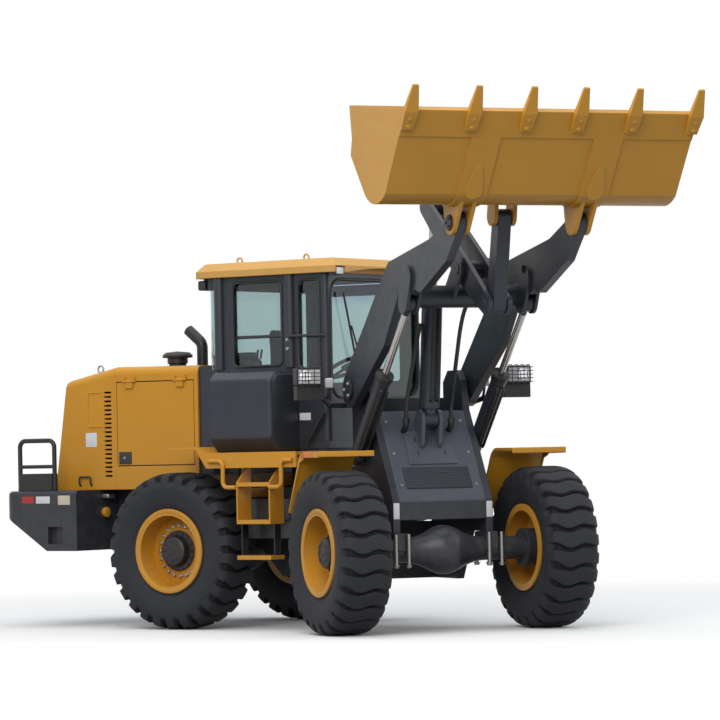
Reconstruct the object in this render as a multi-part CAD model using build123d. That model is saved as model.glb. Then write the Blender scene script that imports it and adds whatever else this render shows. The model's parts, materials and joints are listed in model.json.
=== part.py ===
from build123d import *
import math
import os

os.makedirs("parts", exist_ok=True)

# Articulated wheel loader of the 3-tonne class, boom raised and bucket rolled back.
# Millimetres. +X runs forward along the rear half, +Y to the left, +Z up.
# Everything is drawn from the steering hinge, on the ground below its axis. The front half is drawn
# straight ahead and then turned by STEER_REST. At the end all pieces move to the middle of the base.

# Running gear
FRONT_AXLE_X = 1350
REAR_AXLE_X = -1400
TRACK = 1800
TYRE_R = 660
TYRE_W = 445
LUG_DEPTH = 32
LUGS_PER_SIDE = 18
LUG_GAP = 46
FLANGE_R = 355
BEAD_R = 317.5
RIM_HALF = 196
HUB_R = 170
SPINDLE_R = 70
AXLE_TUBE_R = 95
DIFF_R = 200
DRUM_W = 124
AXLE_Z = TYRE_R
SHAFT_R = 40

# Steering hinge
STEER_REST = -32
HINGE_PIN_R = 45
HINGE_NOSE_R = 110
HINGE_PLATE = 45
HINGE_UPPER_Z = 1080
HINGE_LOWER_Z = 455
HINGE_REACH = 250

# Chassis
FRAME_HALF = 440
FRAME_WALL = 60
REAR_HALF = 430
REAR_WALL = 30
REAR_END_X = -2480
TOWER_BACK_X = 540
REAR_TOP_Z = 1180
TIE_DOWN_R = 30
REAR_TIE_DOWN = (-400, 520)
FRONT_TIE_DOWN = (470, 520)

# Boom and bucket linkage, rest pose, seen from the right: x forward of the hinge, z up
BOOM_PIVOT = (750, 1975)
BUCKET_PIVOT = (2950, 3210)
LIFT_BASE = (800, 1420)
LIFT_PIN = (1955, 2631)
CRANK_PIVOT = (2050, 2900)
CRANK_TOP = (1320, 3450)
CRANK_FRONT = (2500, 2600)
BUCKET_LUG = (2640, 3280)
TILT_BASE = (1120, 1720)
CROSS_TUBE = (1850, 2690)
CROSS_TUBE_R = 90
ARM_WALL = 70
ARM_Y = FRAME_HALF + ARM_WALL + 2
PIN_R = 35
LUG_WALL = 25
SIDE_GAP = 5
EYE_R = 65
LIFT_BARREL_R = 62
LIFT_ROD_R = 29
LIFT_BARREL_END = 905
TILT_BARREL_R = 85
TILT_ROD_R = 40
TILT_BARREL_END = 1060
CRANK_IN = 65
CRANK_WALL = 35
BUCKET_HALF = 1225
BUCKET_WALL = 30
TOOTH_LENGTH = 270
TOOTH_PLACES = (0.972, 0.546, 0.176)
TOOTH_WIDTH = 110

# Steering cylinders
STEER_BASE = (-650, 280)
STEER_PIN = (220, 300)
STEER_Z = 900
STEER_BARREL_R = 40
STEER_ROD_R = 20
STEER_EYE_R = 42
STEER_ROD_START = {"left": 440, "right": 150}

# Cab
CAB_HALF = 680
CAB_BACK_X = -1250
CAB_FRONT_X = 0
CAB_FLOOR_Z = 1500
CAB_SILL_Z = 2180
CAB_EAVE_Z = 2960
CAB_WALL = 60
ROOF_TOP_Z = 3085
ROOF_BACK_X = -1375
ROOF_FRONT_X = 130
ROOF_HALF = 740
GLASS = 8

# Hood and counterweight
HOOD_HALF = 668
HOOD_FRONT_X = -1390
HOOD_SEAM_X = -2310
HOOD_WALL = 25
HOOD_TOP_FRONT_Z = 2230
HOOD_TOP_SEAM_Z = 2240
HOOD_TOP_REAR_Z = 2133
HOOD_ROUND = 70
HOOD_REAR_TOP_X = -2840
HOOD_REAR_BASE_X = -2985
HOOD_BASE_Z = 1180
LOUVRES = 20
LOUVRE_PITCH = 38
WEIGHT_HALF = 1000
WEIGHT_TOP_Z = 1180
WEIGHT_END_X = -3290
WEIGHT_CORNER_R = 90
WEIGHT_EDGE_R = 35
TOW_PIN_R = 22

# Decks and ladders
DECK_OUT = TRACK / 2 + 220
DECK_TOP_Z = 1480
DECK_DROP = 130
DECK_FRONT_X = -25
DECK_BACK_X = -960
STEP_LEFT_X = -640
STEP_RIGHT_X = -290
LADDER_PROUD = 10
LADDER_DEPTH = 190

# Running clearance at pins, and the gap round doors
FIT = 0.4
DOOR_GAP = 8

nodes = {}
FRONT = Rot(0, 0, STEER_REST)


def block(x0, x1, y0, y1, z0, z1):
    """A box from its low and high corners."""
    return Pos((x0 + x1) / 2, (y0 + y1) / 2, (z0 + z1) / 2) * Box(x1 - x0, y1 - y0, z1 - z0)


def side_plate(points, y0, y1):
    """An outline in x and z, carried across from y0 to y1."""
    outline = Polyline(*[(x, y0, z) for x, z in points], close=True)
    return extrude(make_face(outline), amount=y1 - y0, dir=(0, 1, 0))


def across(point, radius, y0, y1):
    """A round bar across the machine at a point given by x and z."""
    return Pos(point[0], (y0 + y1) / 2, point[1]) * Rot(90, 0, 0) * Cylinder(radius, y1 - y0)


def upright(x, y, radius, z0, z1):
    """A vertical round bar."""
    return Pos(x, y, (z0 + z1) / 2) * Cylinder(radius, z1 - z0)


def bar(start, end, radius):
    """A round bar between two points in space."""
    start = Vector(*start)
    run = Vector(*end) - start
    ends = (Align.CENTER, Align.CENTER, Align.MIN)
    return Plane(origin=start, z_dir=run) * Cylinder(radius, run.length, align=ends)


def strap(start, start_r, end, end_r, y0, y1):
    """A lever plate: two round ends in x and z with the tangent lines between them."""
    dx = end[0] - start[0]
    dz = end[1] - start[1]
    reach = math.hypot(dx, dz)
    lean = math.atan2(dz, dx)
    tilt = math.acos((start_r - end_r) / reach)
    corners = []
    for centre, radius, side in (
        (start, start_r, 1), (end, end_r, 1), (end, end_r, -1), (start, start_r, -1),
    ):
        turn = lean + side * tilt
        corners.append((centre[0] + radius * math.cos(turn), centre[1] + radius * math.sin(turn)))
    body = side_plate(corners, y0, y1)
    return body + across(start, start_r, y0, y1) + across(end, end_r, y0, y1)


def both(shape):
    """A shape and its mirror image on the other side of the machine."""
    return shape + mirror(shape, about=Plane.XZ)


def bent_tube(points, bend, radius):
    """A tube along straight runs with round bends."""
    path = FilletPolyline(*points, radius=bend)
    start = Plane(origin=path @ 0, z_dir=path % 0)
    return sweep(start * Circle(radius), path=path)


# Wheels
def make_tyre():
    """A tyre about the Y axis with bar lugs staggered from side to side."""
    half = TYRE_W / 2
    bead = RIM_HALF - 20
    side_r = (FLANGE_R + TYRE_R) / 2
    base_r = TYRE_R - LUG_DEPTH
    edges = []
    for side in (1, -1):
        edges += [
            Line((BEAD_R + FIT, side * bead), (FLANGE_R + 6, side * bead)),
            ThreePointArc((FLANGE_R + 6, side * bead), (side_r, side * half), (base_r, side * 0.9 * half)),
            Line((base_r, side * 0.9 * half), (TYRE_R, side * 0.75 * half)),
        ]
    edges += [
        Line((TYRE_R, -0.75 * half), (TYRE_R, 0.75 * half)),
        Line((BEAD_R + FIT, -bead), (BEAD_R + FIT, bead)),
    ]
    body = revolve(make_face(edges), axis=Axis.Y)
    cutters = []
    for side in (1, -1):
        for i in range(LUGS_PER_SIDE):
            turn = 360 / LUGS_PER_SIDE * (i + (0.25 if side > 0 else 0.75))
            spot = Rot(0, turn, 0) * Pos(base_r + 56, side * (half / 2 + 12), 0) * Rot(side * 14, 0, 0)
            cutters.append(spot * Box(100, half, LUG_GAP))
    return body - cutters


def make_rim():
    """A rim with flanges, a dished disc and the hub, about the Y axis with the outside at +Y."""
    seat = RIM_HALF - 18
    inner = BEAD_R - 18
    channel = [
        (inner, -RIM_HALF), (FLANGE_R, -RIM_HALF), (FLANGE_R, -seat), (BEAD_R, -seat),
        (BEAD_R, seat), (FLANGE_R, seat), (FLANGE_R, RIM_HALF), (inner, RIM_HALF),
    ]
    disc = [(HUB_R - 10, 20), (inner + 5, -30), (inner + 5, 0), (HUB_R - 10, 48)]
    hub = [
        (SPINDLE_R, -70), (HUB_R, -70), (HUB_R, 55), (HUB_R - 40, 70), (HUB_R - 50, 130), (HUB_R - 75, 150),
        (0, 150), (0, 60), (SPINDLE_R, 60),
    ]
    rings = [revolve(make_face(Polyline(*points, close=True)), axis=Axis.Y) for points in (channel, disc, hub)]
    return rings[0] + rings[1] + rings[2]


tyre = make_tyre()
rim = make_rim()
for end, axle_x, turn in (("front", FRONT_AXLE_X, FRONT), ("rear", REAR_AXLE_X, Rot(0, 0, 0))):
    for hand, side in (("left", 1), ("right", -1)):
        place = turn * Pos(axle_x, side * TRACK / 2, AXLE_Z) * Rot(0, 0, 0 if side > 0 else 180)
        nodes[f"tyre_{end}_{hand}"] = place * tyre
        nodes[f"rim_{end}_{hand}"] = place * rim


# Axles, one casting each, with the drive shaft on its nose
def make_axle(pad_top_z, pad_half):
    """An axle about the origin with its centre at AXLE_Z: ball, tubes, brake drums, spindles and pads."""
    hub_in = TRACK / 2 - 70 - 6
    flare = Spline((DIFF_R, 0), (0.78 * DIFF_R, 0.7 * DIFF_R), (AXLE_TUBE_R, 1.9 * DIFF_R),
                   tangents=[(0, 1), (0, 1)])
    half_edges = [
        flare, Line((AXLE_TUBE_R, 1.9 * DIFF_R), (AXLE_TUBE_R, hub_in)), Line((AXLE_TUBE_R, hub_in), (0, hub_in)),
        Line((0, hub_in), (0, 0)), Line((0, 0), (DIFF_R, 0)),
    ]
    casing = both(Pos(0, 0, AXLE_Z) * revolve(make_face(half_edges), axis=Axis.Y))
    casing += both(across((0, AXLE_Z), HUB_R - 15, hub_in - DRUM_W, hub_in))
    casing += both(across((0, AXLE_Z), SPINDLE_R - FIT, hub_in, TRACK / 2 + 50))
    casing += both(block(-110, 110, pad_half - 70, pad_half + 30, AXLE_Z, pad_top_z))
    return casing


FRONT_PAD_Z = 800
REAR_PAD_Z = 860
front_shaft = bar((75, 0, AXLE_Z), (FRONT_AXLE_X - 150, 0, AXLE_Z), SHAFT_R)
nodes["front_axle"] = FRONT * (Pos(FRONT_AXLE_X, 0, 0) * make_axle(FRONT_PAD_Z, FRAME_HALF - 30) + front_shaft)
nodes["rear_axle"] = Pos(REAR_AXLE_X, 0, 0) * make_axle(REAR_PAD_Z, REAR_HALF - 20)


# Rear chassis: two side plates, cross plates, the hinge plates and the steering cylinder brackets
def hinge_plate(z0, z1, away):
    """A hinge plate with a round nose and the pin's bore; away is -1 behind the hinge and 1 in front."""
    wing = block(min(0, away * HINGE_REACH), max(0, away * HINGE_REACH), -HINGE_NOSE_R, HINGE_NOSE_R, z0, z1)
    return wing + upright(0, 0, HINGE_NOSE_R, z0, z1)


rear_side = [
    (-HINGE_REACH, 430), (-HINGE_REACH, REAR_TOP_Z), (REAR_END_X, REAR_TOP_Z), (REAR_END_X, 760),
    (-1800, 760), (-1700, REAR_PAD_Z), (-1100, REAR_PAD_Z), (-950, 700), (-700, 430),
]
inner_half = REAR_HALF - REAR_WALL
rear_plates = both(side_plate(rear_side, inner_half, REAR_HALF))
rear_cross = block(-HINGE_REACH - 40, -HINGE_REACH, -inner_half, inner_half, 1000, REAR_TOP_Z)
rear_cross += block(-HINGE_REACH - 40, -HINGE_REACH, -inner_half, inner_half, 430, 560)
rear_cross += block(-790, -740, -inner_half, inner_half, 740, REAR_TOP_Z)
rear_cross += block(REAR_END_X, REAR_END_X + 40, -inner_half, inner_half, 760, REAR_TOP_Z)
for low in (HINGE_UPPER_Z, HINGE_LOWER_Z):
    rear_cross += hinge_plate(low, low + HINGE_PLATE, -1) - upright(0, 0, HINGE_PIN_R + FIT, low - 1, low + 99)
EYE_HALF = 20
for low in (STEER_Z - 50, STEER_Z + EYE_HALF + SIDE_GAP):
    base = block(-760, STEER_BASE[0], STEER_BASE[1] - 45, STEER_BASE[1] + 45, low, low + 25)
    rear_cross += both(base + upright(*STEER_BASE, 45, low, low + 25))
rear_cross += both(upright(*STEER_BASE, 25 - FIT, STEER_Z - 50, STEER_Z + 50))
for x in (-1150, -340):
    rear_plates += both(block(x, x + 80, inner_half, REAR_HALF, REAR_TOP_Z - 25, CAB_FLOOR_Z))
    rear_plates += both(block(x, x + 80, REAR_HALF - 100, REAR_HALF, REAR_TOP_Z, CAB_FLOOR_Z))
rear_plates -= across(REAR_TIE_DOWN, TIE_DOWN_R, -REAR_HALF - 1, REAR_HALF + 1)
nodes["rear_frame_plates"] = rear_plates
nodes["rear_cross_members"] = rear_cross

# Counterweight: one casting with a towing pocket and its pin bore
weight_side = [
    (REAR_END_X, WEIGHT_TOP_Z), (WEIGHT_END_X + 40, WEIGHT_TOP_Z), (WEIGHT_END_X, WEIGHT_TOP_Z - 40),
    (WEIGHT_END_X, 965), (-2820, 660), (REAR_END_X, 660),
]
counterweight = side_plate(weight_side, -WEIGHT_HALF, WEIGHT_HALF)
corners = counterweight.edges().filter_by(Axis.Z).group_by(Axis.X)[0]
counterweight = fillet(corners, WEIGHT_CORNER_R)
rims_x = counterweight.edges().filter_by(Axis.X).group_by(Axis.Z)[-1]
counterweight = fillet(rims_x, WEIGHT_EDGE_R)
counterweight -= both(block(-2803, -2637, WEIGHT_HALF - 60, WEIGHT_HALF + 1, 720, 868))
TOW_X = WEIGHT_END_X + 80
counterweight -= block(WEIGHT_END_X - 10, TOW_X + 60, -75, 75, 1010, 1095)
counterweight -= upright(TOW_X, 0, TOW_PIN_R, 940, WEIGHT_TOP_Z + 10)
nodes["counterweight"] = counterweight

# Engine, radiator and transmission as plain masses
engine = block(-2250, -1460, -330, 330, REAR_TOP_Z, 1900)
for x in (-2150, -1620):
    engine += both(block(x, x + 100, 300, inner_half, 1060, 1240))
nodes["engine"] = engine
nodes["radiator"] = block(-2700, -2560, -560, 560, REAR_TOP_Z, 1960)
gearbox = block(-1150, -790, -inner_half, inner_half, 700, 1150)
gearbox += bar((-1150, 0, AXLE_Z + 120), (REAR_AXLE_X + 120, 0, AXLE_Z + 60), SHAFT_R)
gearbox += block(-900, -790, -90, 90, 560, 720) + bar((-800, 0, AXLE_Z), (-75, 0, AXLE_Z), SHAFT_R)
nodes["transmission"] = gearbox - Pos(REAR_AXLE_X, 0, AXLE_Z) * Sphere(DIFF_R + 6)


# Hood: a sheet shell in two lengths, with louvres behind and a door in each side ahead of the seam
def hood_top(x):
    """Height of the hood's top at a place ahead of the seam."""
    share = (x - HOOD_SEAM_X) / (HOOD_FRONT_X - HOOD_SEAM_X)
    return HOOD_TOP_SEAM_Z + share * (HOOD_TOP_FRONT_Z - HOOD_TOP_SEAM_Z)


def hood_shell(inset):
    """The hood's whole block, its walls drawn in by inset, open below and behind where it is inset."""
    back = 0 if inset == 0 else -300
    outline = [
        (HOOD_REAR_BASE_X + back, HOOD_BASE_Z - inset), (HOOD_REAR_TOP_X + back, HOOD_TOP_REAR_Z - inset),
        (HOOD_SEAM_X, HOOD_TOP_SEAM_Z - inset), (HOOD_FRONT_X - inset, HOOD_TOP_FRONT_Z - inset),
        (HOOD_FRONT_X - inset, HOOD_BASE_Z - inset),
    ]
    half = HOOD_HALF - inset
    shell = side_plate(outline, -half, half)
    high = (HOOD_TOP_REAR_Z + HOOD_BASE_Z) / 2 + 200
    edges = shell.edges().filter_by(lambda e: abs(e.center().Y) > half - 1 and e.center().Z > high)
    return fillet(edges, HOOD_ROUND - inset)


hood = hood_shell(0) - hood_shell(HOOD_WALL)
DOOR_BACK_X = HOOD_SEAM_X + 25
DOOR_FRONT_X = HOOD_FRONT_X - 40
DOOR_LOW_Z = 1380
DOOR_HIGH_Z = 2110
opening = block(DOOR_BACK_X, DOOR_FRONT_X, HOOD_HALF - 60, HOOD_HALF + 10, DOOR_LOW_Z, DOOR_HIGH_Z)
seam = block(HOOD_SEAM_X, 0, -2000, 2000, 0, 3000)
louvre_cuts = []
for i in range(LOUVRES):
    low = 1290 + i * LOUVRE_PITCH
    louvre_cuts.append(both(block(-2425, -2345, HOOD_HALF - 60, HOOD_HALF + 10, low, low + 16)))
nodes["hood_front"] = (hood & seam) - both(opening)
nodes["hood_rear"] = (hood - seam) - louvre_cuts

# Rear grille: a framed plate with level slots, set in the hood's sloping back
grille_half = HOOD_HALF - HOOD_WALL
grille_side = [
    (HOOD_REAR_BASE_X + 10, HOOD_BASE_Z), (HOOD_REAR_TOP_X + 10, HOOD_TOP_REAR_Z - 80),
    (HOOD_REAR_TOP_X + 40, HOOD_TOP_REAR_Z - 80), (HOOD_REAR_BASE_X + 40, HOOD_BASE_Z),
]
grille = side_plate(grille_side, -grille_half, grille_half)
slots = [block(-3100, -2700, -580, 580, low, low + 35) for low in range(1300, 1960, 65)]
nodes["grille"] = grille - slots

# Engine side doors, hung on two pins along their top edge
KNUCKLE_R = 11
KNUCKLE_HALF = 40
HINGE_OUT = 13
HOOD_HINGE = (HOOD_HALF + HINGE_OUT, DOOR_HIGH_Z)
panel = block(DOOR_BACK_X + DOOR_GAP, DOOR_FRONT_X - DOOR_GAP, HOOD_HALF - HOOD_WALL, HOOD_HALF,
              DOOR_LOW_Z + DOOR_GAP, DOOR_HIGH_Z - DOOR_GAP)
for x in (DOOR_BACK_X + 150, DOOR_FRONT_X - 150):
    y, z = HOOD_HINGE
    knuckle = bar((x - KNUCKLE_HALF, y, z), (x + KNUCKLE_HALF, y, z), KNUCKLE_R)
    knuckle += block(x - KNUCKLE_HALF, x + KNUCKLE_HALF, HOOD_HALF, y + 4, z - 60, z)
    panel += knuckle - bar((x - 99, y, z), (x + 99, y, z), KNUCKLE_R / 2)
    pin = bar((x - 70, y, z), (x + 70, y, z), KNUCKLE_R / 2 - FIT)
    for low in (x - 70, x + KNUCKLE_HALF + 2):
        pin += block(low, low + 28, HOOD_HALF, y + 8, z - 8, z + 40)
    nodes["hood_front"] += both(pin)
nodes["hood_door_left"] = panel
nodes["hood_door_right"] = mirror(panel, about=Plane.XZ)

# Air pre-cleaner on the hood
CLEANER = (-1830, -380)
cleaner_base = hood_top(CLEANER[0])
cleaner_profile = [
    (0, -20), (75, -20), (75, 20), (88, 25), (88, 70), (128, 74), (132, 92), (105, 118), (0, 130),
]
cleaner = revolve(make_face(Polyline(*[(r, 0, z) for r, z in cleaner_profile], close=True)), axis=Axis.Z)
nodes["pre_cleaner"] = Pos(*CLEANER, cleaner_base) * cleaner - hood_shell(0)
STACK_X, STACK_Y, STACK_R = -1760, -120, 48
stack_base = hood_top(STACK_X)
stack_path = [
    (STACK_X, STACK_Y, stack_base - 20), (STACK_X, STACK_Y, stack_base + 200),
    (STACK_X - 150, STACK_Y, stack_base + 320),
]
stack = bent_tube(stack_path, 90, STACK_R) - bent_tube(stack_path, 90, STACK_R - 5)
nodes["exhaust_stack"] = stack - hood_shell(0)


# Decks with fenders, and the ladders with their hand tubes
def make_deck():
    """The left deck: its top plate, the outer skirt and the fender plate rising over the rear wheel."""
    inner = CAB_HALF + 5
    deck = block(DECK_BACK_X, DECK_FRONT_X, inner, DECK_OUT, DECK_TOP_Z - 30, DECK_TOP_Z)
    deck += block(DECK_BACK_X, DECK_FRONT_X, DECK_OUT - 30, DECK_OUT, DECK_TOP_Z - DECK_DROP, DECK_TOP_Z)
    deck += block(DECK_BACK_X, DECK_BACK_X + 30, inner, DECK_OUT, DECK_TOP_Z - DECK_DROP, DECK_TOP_Z)
    fender = [
        (DECK_BACK_X, DECK_TOP_Z - DECK_DROP), (DECK_BACK_X, DECK_TOP_Z), (-1060, DECK_TOP_Z + 50),
        (-1360, DECK_TOP_Z + 50), (-1360, DECK_TOP_Z + 25), (-1070, DECK_TOP_Z + 25),
    ]
    deck += side_plate(fender, inner + 30, DECK_OUT)
    for x in (DECK_BACK_X + 60, DECK_FRONT_X - 120):
        deck += block(x, x + 60, REAR_HALF, inner + 10, REAR_TOP_Z - 80, REAR_TOP_Z)
        deck += block(x, x + 60, inner - 20, inner + 30, REAR_TOP_Z - 80, DECK_TOP_Z)
    return deck


def make_ladder():
    """The left ladder: two cheeks, two fixed steps, a hung step and a bent hand tube each side."""
    out = DECK_OUT + LADDER_PROUD
    top = DECK_TOP_Z - DECK_DROP
    ladder = block(STEP_LEFT_X, STEP_RIGHT_X, out - LADDER_DEPTH, out, 1195, 1230)
    ladder += block(STEP_LEFT_X, STEP_RIGHT_X, out - LADDER_DEPTH, out, 885, 920)
    ladder += block(STEP_LEFT_X, STEP_RIGHT_X, out - LADDER_DEPTH, out, 590, 625)
    for x in (STEP_LEFT_X, STEP_RIGHT_X - 14):
        cheek = [
            (out - LADDER_DEPTH, 885), (out, 885), (out, 1230), (out - 130, top), (out - LADDER_DEPTH, top),
        ]
        face = make_face(Polyline(*[(x, y, z) for y, z in cheek], close=True))
        ladder += extrude(face, amount=14, dir=(1, 0, 0))
        ladder += block(x, x + 14, out - 140, out - 60, 600, 900)
    rail_y = DECK_OUT + 18
    for start, foot, reach in ((DECK_BACK_X + 40, STEP_LEFT_X, 150), (DECK_FRONT_X - 25, STEP_RIGHT_X, -115)):
        points = [
            (start, rail_y, top + 60), (start + reach, rail_y, top + 60),
            (start + reach, rail_y, 1190), (foot, rail_y, 1190),
        ]
        ladder += bent_tube(points, 45, 18)
    return ladder


nodes["decks"] = both(make_deck())
nodes["ladders"] = both(make_ladder())

# Tanks and boxes
TANK_OUT = 1070
TANK_TOP_Z = 2150
TANK_BACK_X = -950
TANK_FRONT_X = -310
tank_side = [
    (-CAB_HALF - 6, DECK_TOP_Z), (-TANK_OUT + 100, DECK_TOP_Z), (-TANK_OUT, DECK_TOP_Z + 120),
    (-TANK_OUT, TANK_TOP_Z - 70), (-TANK_OUT + 80, TANK_TOP_Z), (-CAB_HALF - 6, TANK_TOP_Z),
]
tank_face = make_face(Polyline(*[(TANK_BACK_X, y, z) for y, z in tank_side], close=True))
tank = extrude(tank_face, amount=TANK_FRONT_X - TANK_BACK_X, dir=(1, 0, 0))
lengthwise = tank.edges().filter_by(Axis.X).filter_by(lambda e: e.center().Y < -TANK_OUT + 120)
tank = fillet(lengthwise, 45)
front_rim = tank.faces().sort_by(Axis.X)[-1].edges().filter_by(lambda e: e.center().Y < -CAB_HALF - 20)
nodes["hydraulic_tank"] = fillet(front_rim, 40)
BOX_GAP = 40
box_out = DECK_OUT + LADDER_PROUD - LADDER_DEPTH - BOX_GAP
fuel = block(-700, -160, REAR_HALF, box_out, 720, 1090)
nodes["fuel_tank"] = fillet(fuel.edges().filter_by(Axis.X), 50)
nodes["battery_box"] = block(-700, -160, -box_out, -REAR_HALF, 760, 1090)

# Tail lamp guards on the counterweight
guard_x = WEIGHT_END_X + 120
GUARD_LENGTH = 390
GUARD_Y = 925
GUARD_TOP_Z = 1615
guard_end = guard_x + GUARD_LENGTH
guard_points = [
    (guard_x, GUARD_Y, WEIGHT_TOP_Z), (guard_x, GUARD_Y, GUARD_TOP_Z),
    (guard_end, GUARD_Y, GUARD_TOP_Z), (guard_end, GUARD_Y, WEIGHT_TOP_Z),
]
guard = bent_tube(guard_points, 60, 20) + bar((guard_x, GUARD_Y, 1390), (guard_end, GUARD_Y, 1390), 16)
guard += block(guard_x + 10, guard_end - 10, GUARD_Y - 50, GUARD_Y + 30, WEIGHT_TOP_Z, 1330)
nodes["tail_guards"] = both(guard)


# Cab: a floor, four walls with their windows cut, a roof, glass, and a door on the left
def window(x0, x1, z0, z1, y0, y1, corner=45):
    """A window's block with round corners, for cutting a wall or for a pane."""
    pane = block(x0, x1, y0, y1, z0, z1)
    return fillet(pane.edges().filter_by(Axis.Y), corner)


def window_x(y0, y1, z0, z1, x0, x1, corner=45):
    """The same across the machine."""
    pane = block(x0, x1, y0, y1, z0, z1)
    return fillet(pane.edges().filter_by(Axis.X), corner)


wall_low = CAB_FLOOR_Z + CAB_WALL
side_in = CAB_HALF - CAB_WALL
nodes["cab_floor"] = block(CAB_BACK_X, CAB_FRONT_X, -CAB_HALF, CAB_HALF, CAB_FLOOR_Z, wall_low)
rear_wall = block(CAB_BACK_X, CAB_BACK_X + CAB_WALL, -CAB_HALF, CAB_HALF, wall_low, CAB_EAVE_Z)
front_wall = block(CAB_FRONT_X - CAB_WALL, CAB_FRONT_X, -CAB_HALF, CAB_HALF, wall_low, CAB_EAVE_Z)
side_wall = block(CAB_BACK_X + CAB_WALL, CAB_FRONT_X - CAB_WALL, side_in, CAB_HALF, wall_low, CAB_EAVE_Z)
WRAP_X = CAB_BACK_X + CAB_WALL + 10
WRAP_SPAN = (CAB_SILL_Z, CAB_EAVE_Z - 100)
SCREEN_CORNER = 150
POST_R = 48
REAR_POST_X = CAB_BACK_X + 120
DOOR_POST_X = -385
FRONT_PANE = (-side_in - 10, side_in + 10, CAB_FLOOR_Z + 420, CAB_EAVE_Z - 50)
SIDE_PANE = (-985, -470, CAB_SILL_Z + 20, CAB_EAVE_Z - 50)
QUARTER_PANE = (-300, -78, CAB_SILL_Z - 20, CAB_EAVE_Z - 50)
DOOR_SPAN = (-1060, -120, wall_low + 30, CAB_EAVE_Z - 40)


def pane_in_wall(span, y_mid, seat=0):
    """A pane's block at the middle of a side wall."""
    return window(span[0] + seat, span[1] - seat, span[2] + seat, span[3] - seat,
                  y_mid - GLASS / 2, y_mid + GLASS / 2)


wrap_room = block(CAB_BACK_X - 5, WRAP_X, -CAB_HALF - 5, CAB_HALF + 5, *WRAP_SPAN)
bulkhead = block(HOOD_FRONT_X, CAB_BACK_X, -HOOD_HALF + 20, HOOD_HALF - 20, 1300, HOOD_TOP_FRONT_Z - 10)
nodes["cab_rear"] = rear_wall - wrap_room + bulkhead
screen = window_x(*FRONT_PANE, CAB_FRONT_X - CAB_WALL - 5, CAB_FRONT_X + 5, SCREEN_CORNER)
front_wall = fillet(front_wall.edges().filter_by(Axis.Z).group_by(Axis.X)[-1], 45)
nodes["cab_front"] = front_wall - screen
side_wall += upright(REAR_POST_X, CAB_HALF - 5, POST_R, CAB_SILL_Z, CAB_EAVE_Z)
side_wall -= wrap_room
right_wall = mirror(side_wall, about=Plane.XZ)
right_wall += upright(DOOR_POST_X, -CAB_HALF + 5, POST_R, CAB_SILL_Z, CAB_EAVE_Z)
for span in (SIDE_PANE, QUARTER_PANE):
    right_wall -= window(*span, -CAB_HALF - 5, -side_in + 5)
nodes["cab_right"] = right_wall
nodes["cab_left"] = side_wall - window(*DOOR_SPAN, side_in - 5, CAB_HALF + 5, 60)
mid_front = CAB_FRONT_X - CAB_WALL / 2
wrap_outer = block(CAB_BACK_X, WRAP_X, -CAB_HALF, CAB_HALF, *WRAP_SPAN)
wrap_outer = fillet(wrap_outer.edges().filter_by(Axis.Z).group_by(Axis.X)[0], 50)
wrap_inner = block(CAB_BACK_X + GLASS, WRAP_X + 1, -CAB_HALF + GLASS, CAB_HALF - GLASS, *WRAP_SPAN)
wrap_inner = fillet(wrap_inner.edges().filter_by(Axis.Z).group_by(Axis.X)[0], 50 - GLASS)
rear_glass = wrap_outer - wrap_inner
front_glass = window_x(*FRONT_PANE, mid_front - GLASS / 2, mid_front + GLASS / 2, SCREEN_CORNER)
mid_side = (side_in + CAB_HALF) / 2
side_glass = pane_in_wall(SIDE_PANE, -mid_side) + pane_in_wall(QUARTER_PANE, -mid_side)
nodes["cab_glass"] = front_glass + rear_glass + side_glass

roof_plan = Pos((ROOF_BACK_X + ROOF_FRONT_X) / 2, 0, CAB_EAVE_Z)
roof_plan *= RectangleRounded(ROOF_FRONT_X - ROOF_BACK_X, 2 * ROOF_HALF, 90)
ROOF_RIM = 55
roof = extrude(roof_plan, amount=ROOF_RIM)
roof += Pos(0, 0, ROOF_RIM) * extrude(roof_plan, amount=ROOF_TOP_Z - CAB_EAVE_Z - ROOF_RIM, taper=50)
roof = fillet(roof.faces().sort_by(Axis.Z)[-1].edges(), 60)
VISOR_RISE = 42
visor_half = ROOF_HALF - 190
visor_r = (visor_half**2 + VISOR_RISE**2) / (2 * VISOR_RISE)
arch = Pos(0, 0, CAB_EAVE_Z + VISOR_RISE - visor_r) * Rot(0, 90, 0) * Cylinder(visor_r, 2 * ROOF_FRONT_X + 20)
roof -= arch & block(CAB_FRONT_X + 10, ROOF_FRONT_X + 10, -visor_half, visor_half, 2900, 3050)
roof -= both(block(ROOF_FRONT_X - 90, ROOF_FRONT_X + 1, ROOF_HALF - 150, ROOF_HALF - 40, 2900, CAB_EAVE_Z + 50))
for x in (ROOF_BACK_X + 350, ROOF_FRONT_X - 450):
    eye = Pos(x, -520, ROOF_TOP_Z - 12 + 30) * Rot(90, 0, 0) * Torus(26, 8)
    roof += both(eye + upright(x, -520, 9, ROOF_TOP_Z - 60, ROOF_TOP_Z - 4))
nodes["cab_roof"] = roof

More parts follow.
